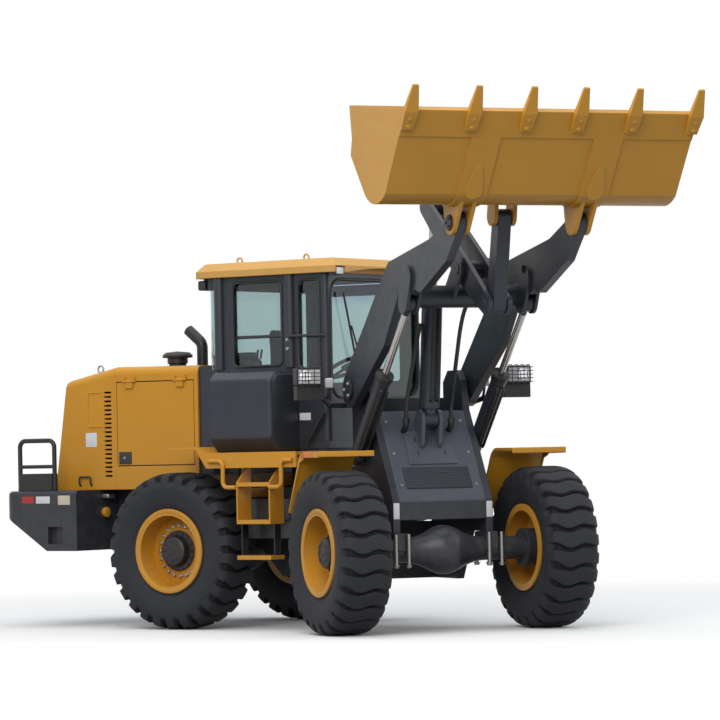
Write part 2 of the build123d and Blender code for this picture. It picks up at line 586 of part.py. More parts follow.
door_leaf = window(DOOR_SPAN[0] + DOOR_GAP, DOOR_SPAN[1] - DOOR_GAP, DOOR_SPAN[2] + DOOR_GAP,
                   DOOR_SPAN[3] - DOOR_GAP, side_in + 10, CAB_HALF, 52)
DOOR_PANE = (DOOR_SPAN[0] + 80, DOOR_SPAN[1] - 80, CAB_SILL_Z - 120, DOOR_SPAN[3] - 90)
cab_door = door_leaf - window(*DOOR_PANE, side_in, CAB_HALF + 5)
CAB_HINGE = (DOOR_SPAN[0], CAB_HALF + HINGE_OUT)
for z in (1800, 2560):
    x, y = CAB_HINGE
    knuckle = upright(x, y, KNUCKLE_R, z - KNUCKLE_HALF, z + KNUCKLE_HALF)
    knuckle += block(x, x + 70, CAB_HALF, y + 4, z - KNUCKLE_HALF, z + KNUCKLE_HALF)
    cab_door += knuckle - upright(x, y, KNUCKLE_R / 2, z - 99, z + 99)
    pin = upright(x, y, KNUCKLE_R / 2 - FIT, z - 70, z + 70)
    for low in (z - 70, z + KNUCKLE_HALF + 2):
        pin += block(x - 50, x + 8, CAB_HALF, y + 8, low, low + 28)
    nodes["cab_left"] += pin
nodes["cab_door"] = cab_door
nodes["glass_door"] = pane_in_wall(DOOR_PANE, mid_side + 5)

# Seat and steering console
seat = block(-900, -420, -250, 250, 1860, 1990) + block(-1000, -880, -250, 250, 1900, 2560)
seat += block(-860, -460, -180, 180, wall_low, 1870)
nodes["seat"] = fillet(seat.edges().filter_by(Axis.Y).group_by(Axis.Z)[-1], 40)
console = block(-200, -60 - FIT, -220, 220, wall_low, 1960)
console += bar((-150, 0, 1900), (-290, 0, 2190), 35)
wheel_tilt = Plane(origin=(-290, 0, 2190), z_dir=(-140, 0, 290))
console += wheel_tilt * Torus(200, 17) + wheel_tilt * Cylinder(60, 30)
console += wheel_tilt * Box(400, 30, 16)
nodes["console"] = console

# Front chassis: two side plates rising to the boom tower, cross plates, hinge plates and cylinder pins
front_side = [
    (HINGE_REACH, 400), (HINGE_REACH, 1180), (TOWER_BACK_X, 1350), (TOWER_BACK_X, 2030), (640, 2125),
    (820, 2125), (900, 2040), (945, 1790), (1370, 1067), (1370, FRONT_PAD_Z), (1000, FRONT_PAD_Z), (760, 400),
]
tower_in = FRAME_HALF - FRAME_WALL
front_plates = both(side_plate(front_side, tower_in, FRAME_HALF))
front_cross = block(HINGE_REACH, HINGE_REACH + 40, -tower_in, tower_in, 1000, 1180)
front_cross += block(HINGE_REACH, HINGE_REACH + 40, -tower_in, tower_in, 400, 590)
front_cross += block(HINGE_REACH, HINGE_REACH + 40, -tower_in, tower_in, 740, 1010)
front_cross += block(620, 680, -tower_in, tower_in, 1300, 1900)
front_cross += block(1340, 1370, -tower_in, tower_in, 906, 1050)
STACK = HINGE_PLATE - 5
for low in (HINGE_UPPER_Z, HINGE_LOWER_Z):
    for z0 in (low - STACK - SIDE_GAP, low + HINGE_PLATE + SIDE_GAP):
        front_cross += hinge_plate(z0, z0 + STACK, 1)
    front_cross += upright(0, 0, HINGE_PIN_R, low - STACK, low + HINGE_PLATE + STACK)
for low in (STEER_Z - 50, STEER_Z + EYE_HALF + SIDE_GAP):
    ear = block(STEER_PIN[0], HINGE_REACH + 20, STEER_PIN[1] - 45, STEER_PIN[1] + 45, low, low + 25)
    front_cross += both(ear + upright(*STEER_PIN, 45, low, low + 25))
front_cross -= both(block(HINGE_REACH - 10, HINGE_REACH + 50, 225, tower_in - 5, STEER_Z - 25, STEER_Z + 25))
arm_in = ARM_Y - ARM_WALL / 2
arm_out = ARM_Y + ARM_WALL / 2
pin_out = arm_out + SIDE_GAP
boom_pin = across(BOOM_PIVOT, 60 - FIT, FRAME_HALF - 10, pin_out)
boom_pin += across(BOOM_PIVOT, 85, pin_out, pin_out + 20)
boom_pin += across(BOOM_PIVOT, 95, FRAME_HALF, arm_in - SIDE_GAP)
lift_pin = across(LIFT_BASE, PIN_R - FIT, FRAME_HALF - 10, pin_out)
lift_pin += across(LIFT_BASE, 50, pin_out, pin_out + 15)
front_plates += both(boom_pin + lift_pin)
front_plates -= across(FRONT_TIE_DOWN, TIE_DOWN_R, -FRAME_HALF - 1, FRAME_HALF + 1)
nodes["front_frame_plates"] = front_plates
nodes["front_cross_members"] = front_cross

# Front cover: the sloping plate between the tower plates, with the tilt cylinder's lugs welded on
cover_side = [(925, 1790), (945, 1790), (1370, 1067), (1370, 1050), (1345, 1050)]
cover = side_plate(cover_side, -tower_in, tower_in)
tilt_lug_in = CRANK_IN - SIDE_GAP / 2
tilt_lug = strap(TILT_BASE, 75, (1060, 1560), 110, tilt_lug_in, tilt_lug_in + 30)
cover += both(tilt_lug) + across(TILT_BASE, PIN_R - FIT, -tilt_lug_in - 30, tilt_lug_in + 30)
nodes["front_cover"] = cover

# Front fenders on arms from the chassis, and head lamps on posts behind the lift cylinders
FENDER_IN = 610
FENDER_OUT = 1080
fender_path = [(1400, 1475), (1000, 1475), (715, 985), (735, 973), (1012, 1450), (1400, 1450)]
fender = side_plate(fender_path, FENDER_IN, FENDER_OUT)
bends = fender.edges().filter_by(Axis.Y).filter_by(lambda e: 990 < e.center().X < 1020)
fender = fillet(bends, 150)
lip_path = [(1400, 1475), (1060, 1475), (1060, 1425), (1400, 1425)]
fender += side_plate(lip_path, FENDER_OUT - 12, FENDER_OUT)
fender += block(690, 760, FRAME_HALF, FENDER_IN + 60, 1020, 1075)
LAMP = (850, 937, 2084)
lamp = block(LAMP[0] - 90, LAMP[0], LAMP[1] - 110, LAMP[1] + 110, LAMP[2] - 75, LAMP[2] + 75)
lamp = fillet(lamp.edges().filter_by(Axis.X), 20)
lamp += block(LAMP[0] - 85, LAMP[0] - 10, LAMP[1] - 130, LAMP[1] + 108, LAMP[2] - 190, LAMP[2] - 75)
lamp += block(TOWER_BACK_X - 60, TOWER_BACK_X, FRAME_HALF - 40, 640, 1830, 1870)
lamp += bar((TOWER_BACK_X - 30, 620, 1850), (LAMP[0] - 60, LAMP[1] - 90, LAMP[2] - 130), 22)
nodes["front_fenders"] = FRONT * both(fender)
nodes["head_lamps"] = FRONT * both(lamp)

# Boom: two arms, the cross tube, the lift cylinder lugs and the bellcrank brackets, welded
arm_outline = [
    (655, 2090), (1620, 2975), (2480, 3115), (2890, 3275), (3005, 3140), (2790, 2925), (2260, 2700),
    (2156, 2735), (1780, 2500), (860, 1872),
]
BOOM_BOSS_R = 150
TIP_R = 88
arm = side_plate(arm_outline, arm_in, arm_out) + across(BOOM_PIVOT, BOOM_BOSS_R, arm_in, arm_out)
arm += across(BUCKET_PIVOT, TIP_R, arm_in, arm_out)
lift_run = Vector(LIFT_BASE[0] - LIFT_PIN[0], LIFT_BASE[1] - LIFT_PIN[1]).normalized() * 500
rod_end = (LIFT_PIN[0] + lift_run.X, LIFT_PIN[1] + lift_run.Y)
arm -= strap(LIFT_PIN, 2 * EYE_R + 20, rod_end, 110, arm_in - 1, arm_out + 1)
arm -= across(BOOM_PIVOT, 60, arm_in - 1, arm_out + 1) + across(BUCKET_PIVOT, PIN_R, arm_in - 1, arm_out + 1)
lift_lug = strap(LIFT_PIN, 85, (2030, 2830), 100, arm_out, arm_out + LUG_WALL)
arm += lift_lug + Pos(0, -ARM_WALL - LUG_WALL, 0) * lift_lug
bracket_in = CRANK_IN + CRANK_WALL + SIDE_GAP
bracket = strap(CRANK_PIVOT, 90, CROSS_TUBE, CROSS_TUBE_R - 5, bracket_in, bracket_in + 30)
boom = both(arm + bracket) + across(CROSS_TUBE, CROSS_TUBE_R, -arm_in, arm_in)
boom -= across(CRANK_PIVOT, 45, -arm_in, arm_in)
nodes["boom"] = boom

# Bellcrank: two lever plates on one pivot tube, with the link's pin at its front end
crank_out = CRANK_IN + CRANK_WALL
plate = strap(CRANK_PIVOT, 115, CRANK_TOP, 75, CRANK_IN, crank_out)
plate += strap(CRANK_PIVOT, 115, CRANK_FRONT, 80, CRANK_IN, crank_out)
crank = both(plate) + across(CRANK_PIVOT, 70, -crank_out, crank_out)
crank += across(CRANK_PIVOT, 45 - FIT, -crank_out - 40, crank_out + 40)
crank += across(CRANK_FRONT, PIN_R - FIT, -crank_out - 10, crank_out + 10)
nodes["bellcrank"] = crank

# Link from the bellcrank to the bucket, open at the bucket's lug
link_half = CRANK_IN - SIDE_GAP - 5
link = strap(CRANK_FRONT, 72, BUCKET_LUG, 60, -link_half, link_half)
nodes["link"] = link - across(CRANK_FRONT, PIN_R, -200, 200) - across(BUCKET_LUG, PIN_R, -200, 200)

# Bucket: a bent shell, side plates, hinge ears and link lugs, with bolted teeth
LIP = (3625, 4020)
FLOOR_FOOT = (3210, 3420)
shell_path = [
    Line((2550, 4135), (2590, 3880)), Line((2590, 3880), (2560, 3755)), Line((2560, 3755), (2790, 3480)),
    ThreePointArc((2790, 3480), (2985, 3360), FLOOR_FOOT), Line(FLOOR_FOOT, LIP),
]
side_face = make_face(shell_path + [Line(LIP, (2550, 4135))])
shell_face = trace(shell_path, BUCKET_WALL)


def lay(face, y0, y1):
    """A flat drawing in x and y stood up into x and z and carried across from y0 to y1."""
    return Plane.XZ * extrude(Pos(0, 0, -y1) * face, amount=y1 - y0)


bucket = lay(shell_face, -BUCKET_HALF, BUCKET_HALF)
bucket += both(lay(side_face, BUCKET_HALF - BUCKET_WALL, BUCKET_HALF))
EAR_FEET = ((2860, 3450), (3140, 3400))
EAR_FOOT_R = 45
ear_web = [BUCKET_PIVOT, *EAR_FEET]
ear_parts = []
for inner in (arm_out + SIDE_GAP, arm_in - SIDE_GAP - 30):
    ear_parts += [strap(BUCKET_PIVOT, 95, foot, EAR_FOOT_R, inner, inner + 30) for foot in EAR_FEET]
    ear_parts.append(side_plate(ear_web, inner, inner + 30))
ear = ear_parts[0].fuse(*ear_parts[1:])
ear += across(BUCKET_PIVOT, PIN_R - FIT, arm_in - SIDE_GAP - 30, arm_out + SIDE_GAP + 30)
link_lug = strap(BUCKET_LUG, 75, (2690, 3600), 70, CRANK_IN, CRANK_IN + 30)
inside = lay(side_face, -BUCKET_HALF, BUCKET_HALF)
bucket += both(ear + link_lug) - inside

# Wear plates on the bucket's floor: the cutting edge, a band under each arm and a raised pad on each band
floor_run = Vector(LIP[0] - FLOOR_FOOT[0], 0, LIP[1] - FLOOR_FOOT[1])
along = floor_run.normalized()
out = Vector(along.Z, 0, -along.X)
EDGE_DEPTH = 230
EDGE_THICK = 10
BAND_HALF = 122
BAND_THICK = 14
edge_foot = Vector(LIP[0], 0, LIP[1]) - along * EDGE_DEPTH
edge_face = trace([Line((edge_foot.X, edge_foot.Z), LIP)], BUCKET_WALL + 2 * EDGE_THICK)
band_face = trace([shell_path[3], Line(FLOOR_FOOT, (edge_foot.X, edge_foot.Z))], BUCKET_WALL + 2 * BAND_THICK)
wear = lay(edge_face, -BUCKET_HALF, BUCKET_HALF)
wear += both(lay(band_face, ARM_Y - BAND_HALF, ARM_Y + BAND_HALF))
pad_plane = Plane(origin=(FLOOR_FOOT[0], ARM_Y, FLOOR_FOOT[1]), x_dir=along, z_dir=out)
pad_outline = make_hull((Pos(40, 0) * Circle(75)).edges() + (Pos(230, 0) * Circle(30)).edges())
wear += both(pad_plane * extrude(pad_outline, amount=BUCKET_WALL / 2 + BAND_THICK + 12))
bucket += wear - inside
nodes["bucket"] = bucket

# Teeth bolted on the edge, each a flat shank and a point that narrows on all sides
TOOTH_SHANK = 160
TOOTH_TIP = 45
teeth = []
for share in TOOTH_PLACES:
    y = share * BUCKET_HALF
    heel = Vector(LIP[0], y, LIP[1]) - along * TOOTH_SHANK + out * (BUCKET_WALL / 2 + EDGE_THICK)
    root = heel + along * TOOTH_SHANK
    tip = root + along * (TOOTH_LENGTH * 0.8)
    shank = Plane(origin=heel, x_dir=(0, -1, 0), z_dir=along) * Pos(0, 17) * Rectangle(TOOTH_WIDTH - 20, 30)
    wide = Plane(origin=root, x_dir=(0, -1, 0), z_dir=along) * Pos(0, 23) * Rectangle(TOOTH_WIDTH, 46)
    narrow = Plane(origin=tip, x_dir=(0, -1, 0), z_dir=along) * Pos(0, 2) * Rectangle(TOOTH_TIP, 20)
    tooth = loft([shank, wide]) + loft([wide, narrow])
    teeth += both(tooth).solids()
nodes["bucket_teeth"] = Compound(teeth)


# Cylinders
def make_cylinder(base, pin, barrel_r, rod_r, neck_end, barrel_end, rod_start, eye_r, half, pin_r):
    """A cylinder in the x, z plane through y = 0: a barrel with its base eye, and a rod with its own eye."""
    run = Vector(pin[0] - base[0], 0, pin[1] - base[1])
    ahead = run.normalized()
    start = Vector(base[0], 0, base[1])

    def point(distance):
        return start + ahead * distance

    barrel = across(base, eye_r, -half, half) + bar(point(eye_r * 0.6), point(neck_end + 10), half - 2)
    barrel += bar(point(neck_end), point(barrel_end), barrel_r)
    barrel += bar(point(barrel_end - 60), point(barrel_end), barrel_r + 8)
    barrel -= bar(point(eye_r + 10), point(barrel_end + 1), rod_r + FIT)
    barrel -= across(base, pin_r, -half - 200, half + 200)
    rod = bar(point(rod_start), point(run.length - eye_r * 0.6), rod_r) + across(pin, eye_r, -half, half)
    return barrel, rod - across(pin, pin_r, -half - 1, half + 1)


lift_barrel, lift_rod = make_cylinder(LIFT_BASE, LIFT_PIN, LIFT_BARREL_R, LIFT_ROD_R, 62, LIFT_BARREL_END, 700,
                                      EYE_R, ARM_WALL / 2 - SIDE_GAP, PIN_R)
tilt_barrel, tilt_rod = make_cylinder(TILT_BASE, CRANK_TOP, TILT_BARREL_R, TILT_ROD_R, 95, TILT_BARREL_END, 640,
                                      70, CRANK_IN - SIDE_GAP - 5, PIN_R)
for hand, side in (("left", 1), ("right", -1)):
    place = FRONT * Pos(0, side * ARM_Y, 0)
    nodes[f"lift_barrel_{hand}"] = place * lift_barrel
    nodes[f"lift_rod_{hand}"] = place * lift_rod
nodes["tilt_barrel"] = FRONT * tilt_barrel
nodes["tilt_rod"] = FRONT * tilt_rod
for name in (
    "front_frame_plates", "front_cross_members", "front_cover", "boom", "bellcrank", "link", "bucket", "bucket_teeth",
):
    nodes[name] = FRONT * nodes[name]

for hand, side in (("left", 1), ("right", -1)):
    pin_at = FRONT * Pos(STEER_PIN[0], side * STEER_PIN[1], STEER_Z)
    start = Vector(STEER_BASE[0], side * STEER_BASE[1], STEER_Z)
    run = pin_at.position - start
    ahead = run.normalized()
    barrel_end = 560
    barrel = Pos(*start) * Cylinder(STEER_EYE_R, 2 * EYE_HALF)
    barrel += bar(start + ahead * 25, start + ahead * 70, EYE_HALF)
    barrel += bar(start + ahead * 60, start + ahead * barrel_end, STEER_BARREL_R)
    barrel -= bar(start + ahead * 80, start + ahead * (barrel_end + 1), STEER_ROD_R + FIT)
    rod_start = STEER_ROD_START[hand]
    rod = bar(start + ahead * rod_start, pin_at.position - ahead * 25, STEER_ROD_R)
    rod += pin_at * Cylinder(STEER_EYE_R, 2 * EYE_HALF)
    nodes[f"steer_barrel_{hand}"] = barrel - Pos(*start) * Cylinder(25, 200)
    nodes[f"steer_rod_{hand}"] = rod - pin_at * Cylinder(25, 200)

# Move the whole machine so that the middle of its base is the origin
whole = Compound(children=[Compound(shape.solids()) for shape in nodes.values()]).bounding_box()
SHIFT = Vector(-(whole.min.X + whole.max.X) / 2, -(whole.min.Y + whole.max.Y) / 2, -whole.min.Z)
for name, shape in nodes.items():
    export_step(Pos(*SHIFT) * Compound(shape.solids()), f"parts/{name}.step")
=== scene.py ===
import json
import math

import bmesh
import bpy
import numpy as np
from mathutils import Matrix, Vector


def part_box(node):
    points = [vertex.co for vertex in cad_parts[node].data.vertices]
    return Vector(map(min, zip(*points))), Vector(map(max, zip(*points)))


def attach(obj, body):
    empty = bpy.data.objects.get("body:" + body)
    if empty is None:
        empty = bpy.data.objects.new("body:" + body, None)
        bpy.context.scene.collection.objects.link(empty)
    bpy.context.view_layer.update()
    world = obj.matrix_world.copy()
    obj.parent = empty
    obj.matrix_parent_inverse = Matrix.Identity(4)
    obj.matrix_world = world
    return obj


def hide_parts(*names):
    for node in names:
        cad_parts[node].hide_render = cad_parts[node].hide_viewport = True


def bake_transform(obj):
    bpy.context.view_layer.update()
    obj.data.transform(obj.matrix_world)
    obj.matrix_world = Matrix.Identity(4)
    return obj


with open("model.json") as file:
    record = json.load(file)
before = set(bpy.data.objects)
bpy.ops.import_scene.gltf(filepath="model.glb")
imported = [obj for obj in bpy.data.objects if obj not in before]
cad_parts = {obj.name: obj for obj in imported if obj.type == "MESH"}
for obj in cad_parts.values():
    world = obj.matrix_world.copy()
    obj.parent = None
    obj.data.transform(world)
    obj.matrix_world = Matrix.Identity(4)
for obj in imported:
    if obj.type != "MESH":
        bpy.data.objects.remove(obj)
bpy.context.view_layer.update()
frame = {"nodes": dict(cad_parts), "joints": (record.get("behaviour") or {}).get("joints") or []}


# The ground and the light. The machine stands on a plain pale floor that fades to white far away and throws
# light back as grey concrete does, under a wide soft sky lamp, a key lamp at its right front corner and a
# weak fill.
def add(tree, kind, **inputs):
    """A new shader node, with its inputs set or linked by name."""
    node = tree.nodes.new("ShaderNode" + kind)
    for key, value in inputs.items():
        socket = node.inputs[key.replace("_", " ")]
        if isinstance(value, bpy.types.NodeSocket):
            tree.links.new(value, socket)
        else:
            socket.default_value = value
    return node


def combine(tree, operation, first, second):
    """One arithmetic step on two values of a material."""
    step = add(tree, "Math")
    step.operation = operation
    tree.links.new(first, step.inputs[0])
    tree.links.new(second, step.inputs[1])
    return step.outputs[0]


def seen_rays(tree):
    """1 for rays from the camera, from mirror reflections and through glass, 0 for those that carry light:
    the largest of a ray's three marks."""
    path = add(tree, "LightPath")
    seen = path.outputs["Is Camera Ray"]
    for kind in ("Is Glossy Ray", "Is Transmission Ray"):
        seen = combine(tree, "MAXIMUM", seen, path.outputs[kind])
    return seen


def mix_surface(tree, share, first, second, output):
    """Two shaders mixed by a share and linked to the output."""
    mix = add(tree, "MixShader", Fac=share)
    tree.links.new(first.outputs[0], mix.inputs[1])
    tree.links.new(second.outputs[0], mix.inputs[2])
    tree.links.new(mix.outputs[0], tree.nodes[output].inputs["Surface"])


def new_finish(name):
    """An empty material, with its node tree and its shader."""
    finish = bpy.data.materials.new(name)
    finish.use_nodes = True
    return finish, finish.node_tree, finish.node_tree.nodes["Principled BSDF"]


FLOOR_R, FLOOR_CORNERS = 90, 96
FADE_FROM, FADE_TO = 4.0, 11.0
FLOOR_COLOUR, YARD_COLOUR = (0.94, 0.945, 0.95, 1), (0.22, 0.22, 0.23, 1)
SKY_COLOUR, WHITE = (0.93, 0.96, 1, 1), (1, 1, 1, 1)
ground_turn = np.linspace(0, 2 * np.pi, FLOOR_CORNERS, endpoint=False)
ground_points = FLOOR_R * np.stack([np.cos(ground_turn), np.sin(ground_turn), 0 * ground_turn], axis=-1)
ground_mesh = bpy.data.meshes.new("ground")
ground_mesh.from_pydata(ground_points.tolist(), [], [tuple(range(FLOOR_CORNERS))])
ground = bpy.data.objects.new("ground", ground_mesh)
bpy.context.scene.collection.objects.link(ground)

floor_finish, tree, concrete = new_finish("pale_floor")
concrete.inputs["Roughness"].default_value = 0.9
seen = seen_rays(tree)
tone = add(tree, "MixRGB", Fac=seen, Color1=YARD_COLOUR, Color2=FLOOR_COLOUR)
tree.links.new(tone.outputs[0], concrete.inputs["Base Color"])
reach = add(tree, "VectorMath", Vector=add(tree, "TexCoord").outputs["Object"])
reach.operation = "LENGTH"
fade = add(tree, "MapRange", Value=reach.outputs["Value"], From_Min=FADE_FROM, From_Max=FADE_TO)
far_white = add(tree, "Emission", Color=WHITE, Strength=1.0)
white_share = combine(tree, "MULTIPLY", fade.outputs["Result"], seen)
mix_surface(tree, white_share, concrete, far_white, "Material Output")
ground.data.materials.append(floor_finish)

world = bpy.data.worlds.new("studio")
bpy.context.scene.world = world
world.use_nodes = True
tree = world.node_tree
sky = add(tree, "Background", Color=SKY_COLOUR, Strength=0.5)
backdrop = add(tree, "Background", Color=WHITE, Strength=1.0)
mix_surface(tree, seen_rays(tree), sky, backdrop, "World Output")


def soft_lamp(name, place, target, size, watts, colour):
    """A square area lamp at a place, turned so that it shines at a target."""
    lamp = bpy.data.lights.new(name, "AREA")
    lamp.energy = watts
    lamp.size = size
    lamp.color = colour
    holder = bpy.data.objects.new(name, lamp)
    bpy.context.scene.collection.objects.link(holder)
    away = np.array(target, float) - place
    lift = math.atan2(away[2], math.hypot(away[0], away[1]))
    turn = math.atan2(away[1], away[0])
    holder.rotation_euler = (math.pi / 2 + lift, 0, turn - math.pi / 2)
    holder.location = place


DECK_MIDDLE, CAB_MIDDLE = (0.2, 0.1, 1.0), (0.3, 0.2, 1.6)
soft_lamp("sky_lamp", (-1.0, -1.0, 12.0), DECK_MIDDLE, size=12.0, watts=620, colour=(1, 0.99, 0.97))
soft_lamp("key_lamp", (5.0, -12.0, 9.0), CAB_MIDDLE, size=10.0, watts=1250, colour=(1, 0.98, 0.95))
soft_lamp("fill_lamp", (9.0, 7.0, 5.0), CAB_MIDDLE, size=7.0, watts=350, colour=(0.95, 0.98, 1))

# The camera, found by fitting the machine's known points to the photograph's pixels: a long lens at the
# height of the hood, looking at the right front corner and a little upwards.
CAMERA_FROM_HINGE = (18.7108, -26.1912, 1.4732)
CAMERA_YAW, CAMERA_PITCH, CAMERA_ROLL = 2.1952, 0.0238, -0.0199
FOCAL_PIXELS, IMAGE_PIXELS, SENSOR_MM, FARTHEST = 3814.4, 720, 36.0, 500
joint = {j["name"]: j for j in frame["joints"]}
hinge = np.array(joint["steer"]["pos_m"]) * (1, 1, 0)
up = np.array((0.0, 0.0, 1.0))


def rear(points):
    """Points given from the ground under the steering hinge along the rear half, moved to their place."""
    return hinge + np.asarray(points, float)


def unit(vector):
    """The vector divided by its length."""
    return vector / np.linalg.norm(vector)


sight = np.array((math.cos(CAMERA_PITCH) * math.cos(CAMERA_YAW),
                  math.cos(CAMERA_PITCH) * math.sin(CAMERA_YAW), math.sin(CAMERA_PITCH)))
level = unit(np.cross(sight, up))
rise = np.cross(level, sight)
right = level * math.cos(CAMERA_ROLL) + rise * math.sin(CAMERA_ROLL)
over = rise * math.cos(CAMERA_ROLL) - level * math.sin(CAMERA_ROLL)
lens = bpy.data.cameras.new("camera")
lens.sensor_width = SENSOR_MM
lens.lens = FOCAL_PIXELS / IMAGE_PIXELS * SENSOR_MM
lens.clip_end = FARTHEST
camera = bpy.data.objects.new("camera", lens)
bpy.context.scene.collection.objects.link(camera)
pose = np.eye(4)
pose[:3] = np.stack([right, over, -sight, rear(CAMERA_FROM_HINGE)], axis=1)
camera.matrix_world = Matrix(pose.tolist())
bpy.context.scene.camera = camera
bpy.context.scene.view_settings.view_transform = "Standard"

# Paint on steel plate, sprayed in one coat over primer: golden yellow on the hood, decks, rims and bucket,
# dark blue grey on frames, boom and cab. Dust settles on the low parts and a fine orange peel dulls the
# gloss.
DUST_COLOUR, DUST_FROM, DUST_TO = (0.30, 0.25, 0.19, 1), 0.2, 1.9
EDGE_ROUND = 0.008


def shades(colour, spread):
    """A colour darkened and lightened by a share, as the two colours of a mix."""
    return {"Color1": [c * (1 - spread) for c in colour] + [1],
            "Color2": [min(c * (1 + spread), 1) for c in colour] + [1]}


def paint(name, colour, roughness=0.36, dust=0.3, mottle=0.1):
    """A coat of paint: its colour drifts with slow noise, dust mixes in towards the ground, and the gloss and
    a fine bump follow quicker noise."""
    finish, tree, shader = new_finish(name)
    place = add(tree, "TexCoord").outputs["Object"]
    drift = add(tree, "TexNoise", Vector=place, Scale=1.3, Detail=6.0, Roughness=0.6)
    tone = add(tree, "MixRGB", Fac=drift.outputs[0], **shades(colour, mottle))
    height = add(tree, "SeparateXYZ", Vector=place)
    low = add(tree, "MapRange", Value=height.outputs["Z"], From_Min=DUST_FROM, From_Max=DUST_TO,
              To_Min=dust, To_Max=0.02)
    specks = add(tree, "TexNoise", Vector=place, Scale=9.0, Detail=8.0, Roughness=0.7)
    cover = add(tree, "MapRange", Value=specks.outputs[0], From_Min=0.4, From_Max=0.75,
                To_Min=0.15, To_Max=1.0)
    share = combine(tree, "MULTIPLY", low.outputs["Result"], cover.outputs["Result"])
    dusty = add(tree, "MixRGB", Fac=share, Color1=tone.outputs[0], Color2=DUST_COLOUR)
    tree.links.new(dusty.outputs[0], shader.inputs["Base Color"])
    dull = add(tree, "MapRange", Value=specks.outputs[0], From_Min=0.3, From_Max=0.8,
               To_Min=roughness - 0.07, To_Max=roughness + 0.14)
    tree.links.new(dull.outputs["Result"], shader.inputs["Roughness"])
    edge = add(tree, "Bevel", Radius=EDGE_ROUND)
    edge.samples = 4
    peel = add(tree, "TexNoise", Vector=place, Scale=90.0, Detail=2.0)
    bump = add(tree, "Bump", Strength=0.06, Distance=0.004, Height=peel.outputs[0], Normal=edge.outputs[0])
    tree.links.new(bump.outputs[0], shader.inputs["Normal"])
    shader.inputs["Specular IOR Level"].default_value = 0.35
    shader.inputs["Coat Weight"].default_value = 0.06
    shader.inputs["Coat Roughness"].default_value = 0.2
    return finish


def coat(finish, *names):
    """Gives the named solids one finish."""
    for name in names:
        solid = frame["nodes"][name]
        solid.data.materials.clear()
        solid.data.materials.append(finish)


YELLOW = (0.60, 0.275, 0.014)
yellow = paint("golden_yellow_paint", YELLOW)
bucket_yellow = paint("bucket_yellow_paint", (0.54, 0.265, 0.026), roughness=0.42)
roof_yellow = paint("roof_yellow_paint", (0.60, 0.335, 0.085), roughness=0.55)
grey = paint("blue_grey_paint", (0.021, 0.026, 0.037), roughness=0.38, dust=0.18, mottle=0.18)
black = paint("black_paint", (0.012, 0.012, 0.014), roughness=0.45, dust=0.12)
coat(grey, "rear_frame_plates", "rear_cross_members", "counterweight", "front_frame_plates",
     "front_cross_members", "boom", "bellcrank", "link", "cab_floor", "cab_front", "cab_rear", "cab_right",
     "cab_left", "cab_door", "rear_axle", "front_axle", "transmission", "engine", "radiator", "fuel_tank",
     "battery_box", "lift_barrel_left", "lift_barrel_right", "tilt_barrel", "steer_barrel_left",
     "steer_barrel_right", "hydraulic_tank")
coat(yellow, "hood_front", "hood_rear", "hood_door_left", "hood_door_right", "decks", "front_fenders")
coat(black, "grille", "tail_guards", "pre_cleaner", "exhaust_stack", "head_lamps", "console")
coat(bucket_yellow, "bucket", "bucket_teeth")
coat(roof_yellow, "cab_roof")

# The ladders: yellow steel treads and rails under the decks, with a near-black band laid on their colour
# between two heights.
LADDER_BAND_COLOUR, LADDER_BAND_LOW, LADDER_BAND_HIGH = (0.010, 0.010, 0.011), 0.626, 0.884


def banded(finish, low, high, colour):
    """Lays another colour on a finish where the height is within half the band of its middle."""
    tree = finish.node_tree
    shader = tree.nodes["Principled BSDF"]
    under = shader.inputs["Base Color"].links[0].from_socket
    height = add(tree, "SeparateXYZ", Vector=add(tree, "TexCoord").outputs["Object"])
    inside = add(tree, "Math")
    inside.operation = "COMPARE"
    tree.links.new(height.outputs["Z"], inside.inputs[0])
    inside.inputs[1].default_value = (low + high) / 2
    inside.inputs[2].default_value = (high - low) / 2
    dark_band = add(tree, "MixRGB", Fac=inside.outputs[0], Color1=under, Color2=[*colour, 1])
    tree.links.new(dark_band.outputs[0], shader.inputs["Base Color"])
    return finish


coat(banded(paint("ladder_paint", YELLOW), LADDER_BAND_LOW, LADDER_BAND_HIGH, LADDER_BAND_COLOUR), "ladders")


# Tyres: tubeless cross-ply earthmover tyres moulded in black rubber, with deep wavy bars from shoulder to
# shoulder, notches where the grooves run out over the shoulders, and plain sidewalls with two rings. The
# grooves are painted darker than the bars, as painted shade.
def grid_faces(rows, cols, closed_rows=False, closed_cols=False):
    """Corner numbers of the quads between neighbours on a grid of rows by cols points."""
    i, j = np.meshgrid(np.arange(rows if closed_rows else rows - 1),
                       np.arange(cols if closed_cols else cols - 1), indexing="ij")
    down, along = (i + 1) % rows, (j + 1) % cols
    corners = (i * cols + j, down * cols + j, down * cols + along, i * cols + along)
    return np.stack(corners, axis=-1).reshape(-1, 4)


def make(name, parts, finish, body, sharp=38):
    """One object from (points, faces) parts: seams merged, faces outwards, edges over the angle kept hard."""
    points, faces, count = [], [], 0
    for place, corners in parts:
        flat = np.asarray(place, float).reshape(-1, 3)
        points.append(flat)
        faces += [tuple(int(c) + count for c in face) for face in corners]
        count += len(flat)
    mesh = bpy.data.meshes.new(name)
    mesh.from_pydata(np.concatenate(points).tolist(), [], faces)
    work = bmesh.new()
    work.from_mesh(mesh)
    bmesh.ops.remove_doubles(work, verts=work.verts, dist=1e-6)
    bmesh.ops.recalc_face_normals(work, faces=work.faces)
    work.to_mesh(mesh)
    work.free()
    mesh.polygons.foreach_set("use_smooth", [True] * len(mesh.polygons))
    mesh.set_sharp_from_angle(angle=math.radians(sharp))
    mesh.materials.append(finish)
    piece = bpy.data.objects.new(name, mesh)
    bpy.context.scene.collection.objects.link(piece)
    if body:
        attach(piece, body)
    return piece


